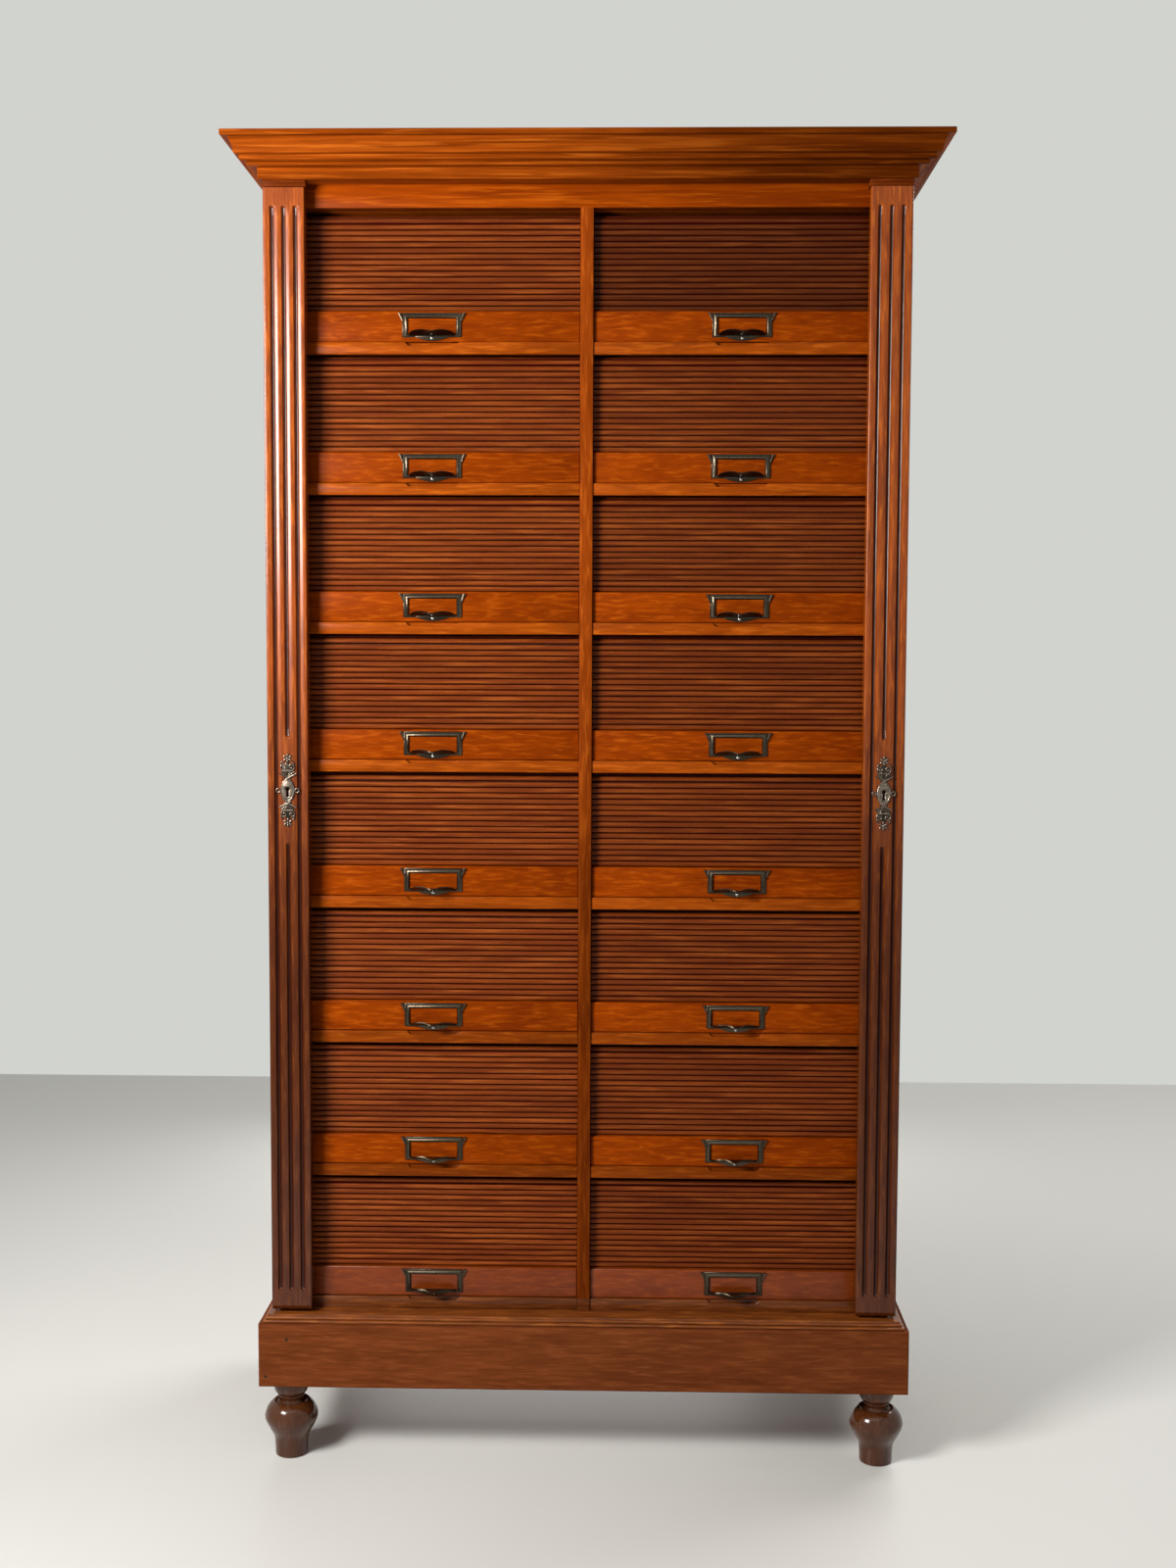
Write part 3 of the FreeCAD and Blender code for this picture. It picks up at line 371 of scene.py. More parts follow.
def ease_arrises(bm, edges, ease, segments=2):
    """Round edges off by an ease in millimetres, and return the new faces."""
    return bmesh.ops.bevel(
        bm, geom=edges, offset=ease * MM, offset_type="OFFSET", segments=segments, profile=0.5,
        affect="EDGES", clamp_overlap=True,
    )["faces"]


def eased_box(bm, low, high, ease, slot=0, segments=2, front_only=False):
    """A board between two corners in millimetres, with its arrises eased."""
    made = bmesh.ops.create_cube(bm, size=1)["verts"]
    for vert in made:
        vert.co = Vector([(a if c < 0 else b) * MM for c, a, b in zip(vert.co, low, high)])
    edges = {edge for vert in made for edge in vert.link_edges}
    faces = {face for vert in made for face in vert.link_faces}
    if front_only:
        front = (low[1] + 0.001) * MM
        edges = {edge for edge in edges if all(vert.co.y < front for vert in edge.verts)}
    for face in [*faces, *ease_arrises(bm, list(edges), ease, segments)]:
        if face.is_valid:
            face.material_index = slot


plinth_low, plinth_high = corners("plinth")
plinth_half, plinth_front, case_back = plinth_high.x, plinth_low.y, plinth_high.y
case_half, pilaster_front = plinth_half - PLINTH_OVER, plinth_front + PLINTH_OVER
bottom, top = plinth_low.z, plinth_high.z - BASE_HEIGHT
inner_x = plinth_half - PLINTH_BOARD
inner_front, inner_back = plinth_front + PLINTH_BOARD, case_back - PLINTH_BOARD
block_x, block_top = inner_x - CORNER_BLOCK, bottom + CORNER_BLOCK_HIGH
bm = bmesh.new()
eased_box(
    bm, (-plinth_half, plinth_front, bottom), (plinth_half, inner_front, top), PLINTH_ROUND, segments=4,
    front_only=True,
)
eased_box(bm, (-inner_x, inner_back, bottom), (inner_x, case_back, top), REAR_ROUND, slot=2)
for side in (-1, 1):
    outer = sorted((side * plinth_half, side * inner_x))
    inner = sorted((side * inner_x, side * block_x))
    eased_box(bm, (outer[0], inner_front, bottom), (outer[1], case_back, top), RETURN_ROUND, slot=1)
    for y in (inner_front, inner_back - CORNER_BLOCK):
        eased_box(bm, (inner[0], y, bottom), (inner[1], y + CORNER_BLOCK, block_top), BLOCK_ROUND, slot=2)
plinth = new_object("plinth_boards", bm, plinth_red, plinth_return, carcase_pine)
settle(plinth, "cabinet", "plinth")


def arc(centre, radius, start, end, steps=8, last=None):
    """Points on an arc, its angles in degrees, or on a spiral that ends at another radius."""
    points = []
    for step in range(steps + 1):
        angle = math.radians(start + (end - start) * step / steps)
        reach = radius if last is None else radius + (last - radius) * step / steps
        points.append((centre[0] + reach * math.cos(angle), centre[1] + reach * math.sin(angle)))
    return points


def mitred_moulding(name, profile, bottom, materials, well=None):
    """A block whose profile of (projection, height) runs along its front and sides, mitred at the corners."""
    bm = bmesh.new()
    loops = []
    for over, height in profile:
        x, front, z = (case_half + over) * MM, (pilaster_front - over) * MM, (bottom + height) * MM
        spots = [(-x, case_back * MM, z), (-x, front, z), (x, front, z), (x, case_back * MM, z)]
        loops.append([bm.verts.new(spot) for spot in spots])
    bands = [(low, high, (1, 0, 1, 2)) for low, high in zip(loops, loops[1:])]
    if well:
        (left, near), (right, far) = well
        spots = [(left, far), (left, near), (right, near), (right, far)]
        rims = []
        for height in (profile[0][1], profile[-1][1]):
            rims.append([bm.verts.new((x * MM, y * MM, (bottom + height) * MM)) for x, y in spots])
        bands += [(loop, rim, (1, 0, 1, 0)) for loop, rim in zip((loops[0], loops[-1]), rims)]
        bands += [(*rims, (2, 2, 2, 2))]
    else:
        bm.faces.new(loops[0])
        bm.faces.new(loops[-1])
    for low, high, slots in bands:
        for face, slot in zip(bridged(bm, low, high), slots):
            face.material_index = slot
    return new_object(name, bm, *materials, crisp=38)


base_profile = [(6, 0)] + arc((8.9, 2.25), 2.25, -90, 80)
base_profile += [(7.6, 4.5)] + arc((6.0, 6.5), 2.0, -75, 85)
base_profile += [(5.5, 8.7), (5.5, BASE_HEIGHT - 0.5), (5.0, BASE_HEIGHT)]
base_board = mitred_moulding("base_board", base_profile, top, (base_red, base_return, carcase_pine))
settle(base_board, "cabinet")

# Case sides and centre partition: solid uprights, with the shutters' grooves routed into their inner faces.
# Their solids are already the right shape, so they only take their finish.
CASE_TONES = (0.11, 0.020, 0.004), (0.23, 0.043, 0.007), (0.34, 0.080, 0.014)
INNER_TONES = (0.13, 0.040, 0.013), (0.24, 0.080, 0.028), (0.32, 0.12, 0.045)
case_upright = polished_timber("case_mahogany_upright", "z", CASE_TONES)
inner_upright = polished_timber("inner_mahogany_upright", "z", INNER_TONES, sheen=(0.4, 0.55))
for node, material in (("case_sides", case_upright), ("centre_partition", inner_upright)):
    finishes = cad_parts[node].data.materials
    finishes.clear()
    finishes.append(material)

# Shelves: one board under each compartment, housed in the uprights, its front hollowed under the pull.
# The front arrises are eased by hand; the lowest pair, under the bottom row, take darker, browner tones.
SHELF_TONES = (0.22, 0.038, 0.002), (0.36, 0.066, 0.003), (0.48, 0.11, 0.008)
SHADED_BOARD_TONES = (0.10, 0.024, 0.004), (0.18, 0.046, 0.008), (0.25, 0.072, 0.014)
SHELF_EASE = 0.9
HOLLOW_HALF, HOLLOW_END = 36, 2
LOWEST_REACH = 30
# Painted shade: the shelves are painted darker towards the bottom, and the lowest boards' darker, browner
# tones paint the shade at the foot of the case.
shelf_orange = polished_timber(
    "shelf_mahogany", "x", SHELF_TONES, gloss=0.04, shade_to=0.6, shade_span=(0.3, 1.0)
)
rubbed_orange = polished_timber("rubbed_mahogany", "x", SHELF_TONES, gloss=1.0, coat=1.0, sheen=(0.2, 0.3))
shaded_floor_board = polished_timber("shaded_floor_mahogany", "x", SHADED_BOARD_TONES, gloss=0.25, sheen=(0.18, 0.28))


def eased_copy(node, name, ease, *materials):
    """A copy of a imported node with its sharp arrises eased."""
    bm = bmesh.new()
    bm.from_mesh(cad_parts[node].data)
    bmesh.ops.remove_doubles(bm, verts=bm.verts, dist=0.002 * MM)
    bmesh.ops.dissolve_limit(bm, angle_limit=math.radians(1), verts=bm.verts, edges=bm.edges)
    sharp = [edge for edge in bm.edges if edge.is_manifold and edge.calc_face_angle() > math.radians(30)]
    ease_arrises(bm, sharp, ease)
    for face in bm.faces:
        face.material_index = 0
    return new_object(name, bm, *materials)


shelves = eased_copy("shelves", "shelf_boards", SHELF_EASE, shelf_orange, shaded_floor_board, rubbed_orange)
lowest_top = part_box("shelves")[0].z + LOWEST_REACH * MM
bay_centre = sum(corner.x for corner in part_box("tambour_right_1")) / 2
for face in shelves.data.polygons:
    from_bay = abs(abs(face.center.x) - bay_centre)
    hollow_end = abs(from_bay - HOLLOW_HALF * MM) < HOLLOW_END * MM
    # The lowest boards take the painted-shade board; the ends of each finger hollow take the glossier polish.
    face.material_index = 2 if hollow_end else 1 if face.center.z < lowest_top else 0
settle(shelves, "cabinet", "shelves")

# Back: six upright boards of plain wood, nailed to the shelves' rear edges and left unpolished.
# They stand side by side between the case sides, and a loose tongue in each joint keeps the light out.
BACK_BOARDS = 6
BACK_EASE, BACK_PLANED = 1.2, 0.4
TONGUE_WIDE, TONGUE_THICK, TONGUE_SHORT = 6, 2.5, 2
back = eased_copy("back_boards", "back_planks", BACK_EASE, carcase_pine)
for vertex in back.data.vertices:
    vertex.co.y = min(vertex.co.y, (case_back - BACK_PLANED) * MM)
settle(back, "cabinet", "back_boards")
low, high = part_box("back_boards")
bm = bmesh.new()
for number in range(1, BACK_BOARDS):
    middle = low.lerp(high, 0.5)
    middle.x = low.lerp(high, number / BACK_BOARDS).x
    extent = Matrix.Diagonal((TONGUE_WIDE * MM, TONGUE_THICK * MM, high.z - low.z - TONGUE_SHORT * MM, 1))
    bmesh.ops.create_cube(bm, size=1, matrix=Matrix.Translation(middle) @ extent)
settle(new_object("back_tongues", bm, carcase_pine), "cabinet")

# Nails: small round iron heads, driven just below the face of the back boards and of the plinth.
# They stand on two lists of points, and the heads of each list face one way.
NAIL_RADIUS, NAIL_SEGMENTS = 2.2, 14
NAIL_SUNK, NAIL_SHOWN = 0.45, 0.3
NAIL_ROWS, NAIL_END = 5, 15
PLINTH_NAILS = (10, 15), (39, 67)
RUST_TONES = (0.018, 0.010, 0.007), (0.065, 0.032, 0.018)
FACING_BACK, FACING_FRONT = (-math.pi / 2, 0, 0), (math.pi / 2, 0, 0)

nail_iron, tree, shader, place = new_material("nail_iron")
rust = add_node(tree, "ShaderNodeTexNoise", {"Vector": place, "Scale": 900})
rusted = between_tones(tree, rust.outputs["Fac"], RUST_TONES)
set_inputs(tree, shader, {"Base Color": rusted, "Metallic": 0.6, "Specular IOR Level": 0.3, "Roughness": 0.6})


def finish_instances(tree, instances, material, result):
    """Make a tree's instances into one mesh in one material, as its result."""
    solid = add_node(tree, "GeometryNodeRealizeInstances", {"Geometry": instances}).outputs["Geometry"]
    finish = add_node(tree, "GeometryNodeSetMaterial", {"Geometry": solid, "Material": material})
    set_inputs(tree, result, {"Geometry": finish.outputs["Geometry"]})


def fastening_tree():
    """Sets one fastener on every point of a mesh, turned by one angle, in one material."""
    inputs = {"Points": "Geometry", "Fastener": "Object", "Turn": "Vector", "Finish": "Material"}
    tree, given, result = new_group("fastenings", "GeometryNodeTree", inputs, {"Geometry": "Geometry"})
    master = add_node(tree, "GeometryNodeObjectInfo", {"Object": given["Fastener"]}).outputs["Geometry"]
    values = {"Points": given["Points"], "Instance": master, "Rotation": given["Turn"]}
    stand = add_node(tree, "GeometryNodeInstanceOnPoints", values)
    finish_instances(tree, stand.outputs["Instances"], given["Finish"], result)
    return tree


def grown(name, points, tree, **inputs):
    """Run a node tree over points in millimetres and keep the result as a plain mesh in a new object."""
    mesh = bpy.data.meshes.new(name)
    mesh.from_pydata([Vector(point) * MM for point in points], [], [])
    seed = bpy.data.objects.new(name, mesh)
    scene.collection.objects.link(seed)
    modifier = seed.modifiers.new(name, "NODES")
    modifier.node_group = tree
    sockets = {item.name: item.identifier for item in tree.interface.items_tree if item.in_out == "INPUT"}
    for word, given in inputs.items():
        modifier[sockets[word.replace("_", " ")]] = given
    seed.update_tag()
    graph = bpy.context.evaluated_depsgraph_get()
    result = bpy.data.meshes.new_from_object(
        seed.evaluated_get(graph), preserve_all_data_layers=True, depsgraph=graph
    )
    seed.modifiers.clear()
    result.name = name
    seed.data = result
    return seed


fastenings = fastening_tree()
nail_outline = [(0, -1.5), (NAIL_RADIUS, -1.5), (NAIL_RADIUS, 0.15), (NAIL_RADIUS * 0.7, 0.35), (0, 0.4)]
bm = bmesh.new()
lathe(bm, nail_outline, (0, 0), NAIL_SEGMENTS)
nail = new_object("nail_master", bm)
back_low, back_high = corners("back_boards")
board_width = (back_high.x - back_low.x) / BACK_BOARDS
lowest_row = back_low.z + NAIL_END
row_rise = (back_high.z - NAIL_END - lowest_row) / (NAIL_ROWS - 1)
back_nails = [
    (back_low.x + board_width * (board + share), case_back - NAIL_SUNK, lowest_row + row_rise * row)
    for board in range(BACK_BOARDS)
    for share in (0.2, 0.8)
    for row in range(NAIL_ROWS)
]
plinth_nails = [(x - plinth_half, plinth_front + NAIL_SUNK - NAIL_SHOWN, bottom + z) for x, z in PLINTH_NAILS]
nailed = {"back_nails": (back_nails, FACING_BACK), "plinth_nails": (plinth_nails, FACING_FRONT)}
for name, (spots, turn) in nailed.items():
    settle(grown(name, spots, fastenings, Fastener=nail, Turn=turn, Finish=nail_iron), "cabinet")
bpy.data.objects.remove(nail)

# Face frame: the stile on the partition's edge, the frieze rail, and a small moulded cap over each pilaster.
# All are solid mahogany with eased arrises, glued and nailed to the case. The stile stands on the lowest
# boards' front edge: its mesh is cut there, and the foot below takes their wood.
FRIEZE_HIGH = 30
STILE_REACH = 12
CAP_INNER = 365
FRAME_EASE = 0.5
LATH_CLEAR = 0.5
FACING_DOWN = -0.7
CAP_AND_UNDERSIDE_TONES = (0.10, 0.016, 0.002), (0.19, 0.033, 0.004), (0.28, 0.060, 0.008)
STILE_TONES = (0.20, 0.032, 0.002), (0.32, 0.056, 0.004), (0.42, 0.092, 0.008)
FRIEZE_TONES = (0.18, 0.025, 0.001), (0.30, 0.047, 0.001), (0.44, 0.092, 0.004)
# Painted shade: the stile is painted darker towards its foot, where the light falls off.
frame_upright = polished_timber("stile_mahogany", "z", STILE_TONES, shade_to=0.5)
frieze_orange = polished_timber("frieze_mahogany", "x", FRIEZE_TONES, stretch=0.10, ribbon=0.9)
cap_and_underside_shade = polished_timber("cap_and_underside_shade_mahogany", "x", CAP_AND_UNDERSIDE_TONES)
cornice_bottom = corners("cornice")[0].z
frieze_bottom = (cornice_bottom - FRIEZE_HIGH) * MM
stile_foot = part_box("lath_left_8")[0].z - LATH_CLEAR * MM
timbers = frieze_orange, frame_upright, cap_and_underside_shade, shaded_floor_board
face_frame = eased_copy("face_frame", "face_frame_rails", FRAME_EASE, *timbers)
bm = bmesh.new()
bm.from_mesh(face_frame.data)
everything = bm.verts[:] + bm.edges[:] + bm.faces[:]
bmesh.ops.bisect_plane(bm, geom=everything, plane_co=(0, 0, stile_foot), plane_no=(0, 0, 1))
bm.to_mesh(face_frame.data)
bm.free()
# The caps take their darker wood; the faces that look down, under the frieze, take it too as painted shade.
# The stile's foot takes the lowest boards' wood, with its painted shade.
for face in face_frame.data.polygons:
    in_stile = abs(face.center.x) < STILE_REACH * MM and face.center.z < frieze_bottom
    dark = abs(face.center.x) > CAP_INNER * MM or face.normal.z < FACING_DOWN
    upright = 3 if face.center.z < stile_foot else 1
    face.material_index = upright if in_stile else 2 if dark else 0
settle(face_frame, "cabinet", "face_frame")

# Cornice: a fascia, a bead, a flat band, a tall cove that leans out, and a corona, each under the next.
# It is stuck in solid mahogany and mitred round three sides, and a dust board lies in its top.
CORNICE_OVER = 46
CORNICE_TOP = 53
WELL_FRONT = -129.5
DUST_BOARD, DUST_BOARD_EASE = (37, 49), 0.8
CORNICE_TONES = (0.15, 0.024, 0.001), (0.32, 0.058, 0.003), (0.50, 0.120, 0.009)


def bent(start, bulge, end, steps=8):
    """Points along a simple bend from start to end that leans towards bulge."""
    points = []
    for step in range(steps + 1):
        t = step / steps
        shares = (1 - t) ** 2, 2 * t * (1 - t), t * t
        points.append(tuple(sum(s * p for s, p in zip(shares, spot)) for spot in zip(start, bulge, end)))
    return points


# Painted shade: the cornice's front is painted darker towards the right, where the light falls off.
case_level = polished_timber(
    "case_mahogany_level", "x", CORNICE_TONES, stretch=0.07, ribbon=0.9, shade_to=0.45, shade_along="X",
    shade_span=(0.36, -0.2),
)
case_return = polished_timber("case_mahogany_return", "y", CORNICE_TONES, stretch=0.07, ribbon=0.9)
cornice_profile = [(5.5, 0), (5.5, 13.8), (6.1, 14.4), (14.6, 14.8)]
cornice_profile += arc((15.6, 16.9), 2.0, -90, 70, 7) + [(16.6, 19.3), (22.8, 19.7)]
cornice_profile += arc((23.9, 21.1), 1.1, -80, 0, 3) + [(25, 25.4), (25.4, 26), (29.8, 26.5)]
cornice_profile += bent((31.4, 27.4), (32.4, 39), (38.2, 45.6), 9)
cornice_profile += [(CORNICE_OVER - 0.5, 45.8), (CORNICE_OVER, 46.3), (CORNICE_OVER, CORNICE_TOP - 0.6)]
cornice_profile += [(CORNICE_OVER - 0.6, CORNICE_TOP)]
well = ((back_low.x, WELL_FRONT), (back_high.x, back_low.y))
timbers = case_level, case_return, carcase_pine
cornice = mitred_moulding("cornice_moulding", cornice_profile, cornice_bottom, timbers, well)
settle(cornice, "cabinet", "cornice")
bm = bmesh.new()
board_low, board_high = ((*spot, cornice_bottom + height) for spot, height in zip(well, DUST_BOARD))
eased_box(bm, board_low, board_high, DUST_BOARD_EASE)
settle(new_object("dust_board", bm, shelf_orange), "cabinet")

# Pilasters: upright mahogany boards that swing on a pivot at each end and lock over the shutters' ends.
# Three round-ended flutes run down the front, the middle one stopped at the keyhole; the foot is bevelled.
SIDES = {"left": -1, "right": 1}
PILASTER_DEEP = 21
PIVOT_FOOT, PIVOT_HEAD = 11, 7.5
PIVOT_INSET = 7
ARRIS = 1.4
FLUTE_REACH = 3.3
FLUTE_DEPTH = 2.8
FLUTE_SHADE_TONE = (0.030, 0.003, 0.001)
SHOULDER_DEPTH, SHOULDER_RUN, SHOULDER_POWER = 1.7, 14, 1.4
FLUTE_PITCH = 15.4
FLUTE_FOOT, FLUTE_HEAD = 28, 23
FLUTE_BREAK = 71
FLUTE_STEPS = 7
SHOE_HIGH, SHOE_BACK = 6.5, 5
KEYHOLE_RISE = 713
KEY_SLOT_HALF, KEY_SLOT_LOW, KEY_SLOT_HIGH, KEY_SLOT_DEEP = 3.0, -9.0, 4.8, 9.0
SLOT_WALL = 0.1
PILASTER_TONES = (0.20, 0.034, 0.002), (0.37, 0.072, 0.005), (0.53, 0.130, 0.010)
# Painted shade: the pilasters are painted much darker towards their feet, where the light falls off.
pilaster_red = polished_timber(
    "pilaster_mahogany", "z", PILASTER_TONES, sheen=(0.21, 0.30), gloss=0.30, coat=0.12, shade_to=0.27
)


def coloured_by(material, attribute, tone=None):
    """Bring a wood's colour to a tone by the share in a mesh attribute, or without a tone multiply it."""
    tree = material.node_tree
    shader = tree.nodes["Principled BSDF"]
    colour = shader.inputs["Base Color"].links[0].from_socket
    share = add_node(tree, "ShaderNodeAttribute", attribute_name=attribute).outputs["Fac"]
    if tone:
        mixed = blended(tree, share, colour, (*tone, 1))
    else:
        mixed = blended(tree, 1, colour, share, blend_type="MULTIPLY")
    set_inputs(tree, shader, {"Base Color": mixed})


# Painted shade: the deep of each flute is brought towards a near-black tone.
coloured_by(pilaster_red, "hollow", FLUTE_SHADE_TONE)


def face_hollow(x, z, flutes):
    """How far the front lies below its flat at a place, by a flute's groove and by its round shoulders."""
    groove = shoulder = 0
    for centre, low, high in flutes:
        across = abs(x - centre)
        away = math.hypot(across, z - min(max(z, low), high))
        run_in = min(max((min(z - low, high - z) + FLUTE_REACH) / SHOULDER_RUN, 0), 1)
        slope = (1 - min(2 * across / FLUTE_PITCH, 1)) ** SHOULDER_POWER
        groove = max(groove, FLUTE_DEPTH * (1 - min(away / FLUTE_REACH, 1) ** 2.4) ** 0.6)
        shoulder = max(shoulder, run_in * SHOULDER_DEPTH * slope)
    return groove, shoulder


def mark_hollows(piece, hollows):
    """Write how hollow a piece is at each of its points."""
    piece.data.attributes.new("hollow", "FLOAT", "POINT").data.foreach_set("value", hollows)


def fluted_pilaster(low, high, key_height, half):
    """Rings up a pilaster about its middle, its back on y = 0 and its pivot towards +x, and its hollows."""
    ends = low + FLUTE_FOOT + FLUTE_REACH, high - FLUTE_HEAD - FLUTE_REACH
    stops = key_height - FLUTE_BREAK - FLUTE_REACH, key_height + FLUTE_BREAK + FLUTE_REACH
    flutes = [(-FLUTE_PITCH, *ends), (FLUTE_PITCH, *ends), (0, ends[0], stops[0]), (0, stops[1], ends[1])]
    levels = {low, low + SHOE_HIGH, low + SHOE_HIGH + 0.5, high - 0.6, high}
    for place, way in ((ends[0], -1), (ends[1], 1), (stops[0], 1), (stops[1], -1)):
        levels |= {place + way * FLUTE_REACH * step / FLUTE_STEPS for step in range(FLUTE_STEPS + 1)}
        levels |= {place + way * (FLUTE_REACH + 1.2)}
        levels |= {place - way * (SHOULDER_RUN - FLUTE_REACH) * share for share in (0.25, 0.5, 0.75, 1)}
    slot = key_height + KEY_SLOT_LOW, key_height + KEY_SLOT_HIGH
    levels |= {slot[0] - SLOT_WALL, slot[0], slot[1], slot[1] + SLOT_WALL}
    columns = {ARRIS - half, half - ARRIS}
    for centre in (-FLUTE_PITCH, 0, FLUTE_PITCH):
        steps = range(-FLUTE_STEPS - 1, FLUTE_STEPS + 2)
        columns |= {centre + FLUTE_REACH * step / (FLUTE_STEPS + 1) for step in steps}
        columns |= {centre + FLUTE_PITCH / 2 * share for share in (-1, -0.84, -0.68, 0.68, 0.84, 1)}
    for edge in (KEY_SLOT_HALF, KEY_SLOT_HALF + SLOT_WALL):
        columns |= {-edge, edge}
    rear = arc((half - ARRIS, ARRIS - PILASTER_DEEP), ARRIS, -60, 0, 2)
    rear += arc((half - PIVOT_INSET, -PIVOT_INSET), PIVOT_INSET, 0, 90)
    rear += arc((ARRIS - half, -ARRIS), ARRIS, 90, 180, 3)
    rear += arc((ARRIS - half, ARRIS - PILASTER_DEEP), ARRIS, 180, 240, 2)
    rings, hollows = [], []
    for z in sorted(levels):
        set_back = SHOE_BACK * max(0, 1 - (z - low) / SHOE_HIGH)
        front = []
        for x in sorted(columns):
            groove, shoulder = face_hollow(x, z, flutes)
            in_slot = abs(x) <= KEY_SLOT_HALF and slot[0] <= z <= slot[1]
            front.append((x, (KEY_SLOT_DEEP if in_slot else groove + shoulder) - PILASTER_DEEP))
            # painted shade in the flutes, strongest at their deepest
            hollows.append((groove / FLUTE_DEPTH) ** 4)
        hollows += [0] * len(rear)
        rings.append([(x, max(y, set_back - PILASTER_DEEP), z) for x, y in front + rear])
    return rings, hollows


for side, sign in SIDES.items():
    body = f"pilaster_{side}"
    low, high = corners(body)
    foot, head = low.z + PIVOT_FOOT, high.z - PIVOT_HEAD
    middle, half = (low.x + high.x) / 2, (high.x - low.x) / 2
    rings, hollows = fluted_pilaster(foot, head, foot + KEYHOLE_RISE, half)
    bm = bmesh.new()
    skinned(bm, [[(middle + sign * x, high.y + y, z) for x, y, z in ring] for ring in rings])
    pilaster = new_object(f"fluted_pilaster_{side}", bm, pilaster_red, crisp=40)
    mark_hollows(pilaster, hollows)
    settle(pilaster, body, body)

# Escutcheons, locks and pivots: a cast scrollwork plate round each keyhole, a lock let into the pilaster's
# back, and the two steel pivots that the pilaster turns on.
PLATE_THICK = 1.2
RIBBON = 0.95
PETALS, FLOWER_RISE, FLOWER_RADIUS = 6, 43.2, 4.0
LOCK_WIDE, LOCK_HIGH, LOCK_DEEP, LOCK_PROUD, LOCK_EASE = 38, 56, 11, 0.3, 0.6
LOCK_SCREW, LOCK_SCREW_SUNK, LOCK_SCREW_IN, LOCK_SCREW_DOWN = 2.4, 1.2, 5, 6
SCREW_RISE, SCREW_SLOT, SCREW_RIM, SCREW_DISC, SCREW_CUT = 0.62, 0.14, 0.98, 0.3, 0.86
SCREW_ROOT, SCREW_STEPS = 0.6, 6
PIN_RADIUS, PIN_EASE, PIN_ROOT, PIN_SEGMENTS = 3.5, 0.5, 3, 24
BRONZE_TONES = (0.022, 0.015, 0.010), (0.36, 0.29, 0.23)
STEEL_TONES = (0.10, 0.095, 0.09), (0.34, 0.33, 0.31)


def patina_group():
    """Cast metal gone dark in its hollows: a mottled tone, brighter where it stands out, and its sheen."""
    inputs = {
        "Place": "Vector", "Dark": "Color", "Bright": "Color", "Grain Size": "Float", "Hollow": "Float",
        "Ridge": "Float",
    }
    tree, given, result = new_group("patina", "ShaderNodeTree", inputs, SURFACE)
    values = {"Vector": given["Place"], "Scale": given["Grain Size"], "Detail": 6}
    mottle = add_node(tree, "ShaderNodeTexNoise", values).outputs["Fac"]
    tone = ranged(tree, mottle, 0.25, 0.60)
    depth = add_node(tree, "ShaderNodeSeparateXYZ", {"Vector": given["Place"]}).outputs["Y"]
    rubbed = worked_out(tree, "MULTIPLY", tone, ranged(tree, depth, given["Hollow"], given["Ridge"]))
    colour = blended(tree, rubbed, given["Dark"], given["Bright"])
    rough = ranged(tree, tone, 0, 1, 0.44, 0.24)
    set_inputs(tree, result, {"Color": colour, "Roughness": rough, "Height": mottle})
    return tree


patina = patina_group()


def patinated(name, dark, bright, grain_size, hollow, ridge):
    """A metal under its patina, dark at the depth of its hollows and bright at that of its ridges."""
    material, tree, shader, place = new_material(name)
    values = {
        "Place": place, "Dark": (*dark, 1), "Bright": (*bright, 1), "Grain Size": grain_size,
        "Hollow": hollow * MM, "Ridge": ridge * MM,
    }
    mottled = add_node(tree, "ShaderNodeGroup", values, node_tree=patina).outputs
    dress(tree, shader, mottled, strength=0.15, distance=0.2, others={"Metallic": 1})
    return material


plate_face = pilaster_front - 0.9
old_bronze = patinated("old_bronze", *BRONZE_TONES, 420, plate_face, plate_face - 1.7)
lock_steel = patinated("lock_steel", *STEEL_TONES, 300, 0, pilaster_front)


def curved_solid(lines, closed, turn, **settings):
    """The solid of a curve with these settings through lines of points in millimetres, turned into place."""
    curve = bpy.data.curves.new("curve", "CURVE")
    for name, value in settings.items():
        setattr(curve, name, value)
    for line in lines:
        spline = curve.splines.new("POLY")
        spline.points.add(len(line) - 1)
        spline.use_cyclic_u = closed
        for point, (x, y, z) in zip(spline.points, line):
            point.co = (x * MM, y * MM, z * MM, 1)
    holder = bpy.data.objects.new("curve", curve)
    scene.collection.objects.link(holder)
    graph = bpy.context.evaluated_depsgraph_get()
    mesh = bpy.data.meshes.new_from_object(holder.evaluated_get(graph), depsgraph=graph)
    bpy.data.objects.remove(holder)
    bm = bmesh.new()
    bm.from_mesh(mesh)
    bpy.data.meshes.remove(mesh)
    bmesh.ops.remove_doubles(bm, verts=bm.verts, dist=0.002 * MM)
    bm.transform(turn)
    return bm


def flat_plate(outlines, thickness, ease):
    """A plate on flat closed outlines (x, z), the first its edge and the rest its holes, facing the front."""
    return curved_solid(
        [[(x, z, 0) for x, z in outline] for outline in outlines], True, Matrix.Rotation(math.pi / 2, 4, "X"),
        dimensions="2D", fill_mode="BOTH", extrude=(thickness / 2 - ease) * MM, bevel_depth=ease * MM,
        bevel_resolution=1, offset=-ease * MM,
    )


def ribbon(points, radius, closed=False):
    """A round ribbon of metal through flat points (x, z)."""
    return curved_solid(
        [[(x, 0, z) for x, z in points]], closed, Matrix.Identity(4), dimensions="3D",
        bevel_depth=radius * MM, bevel_resolution=2, use_fill_caps=True,
    )


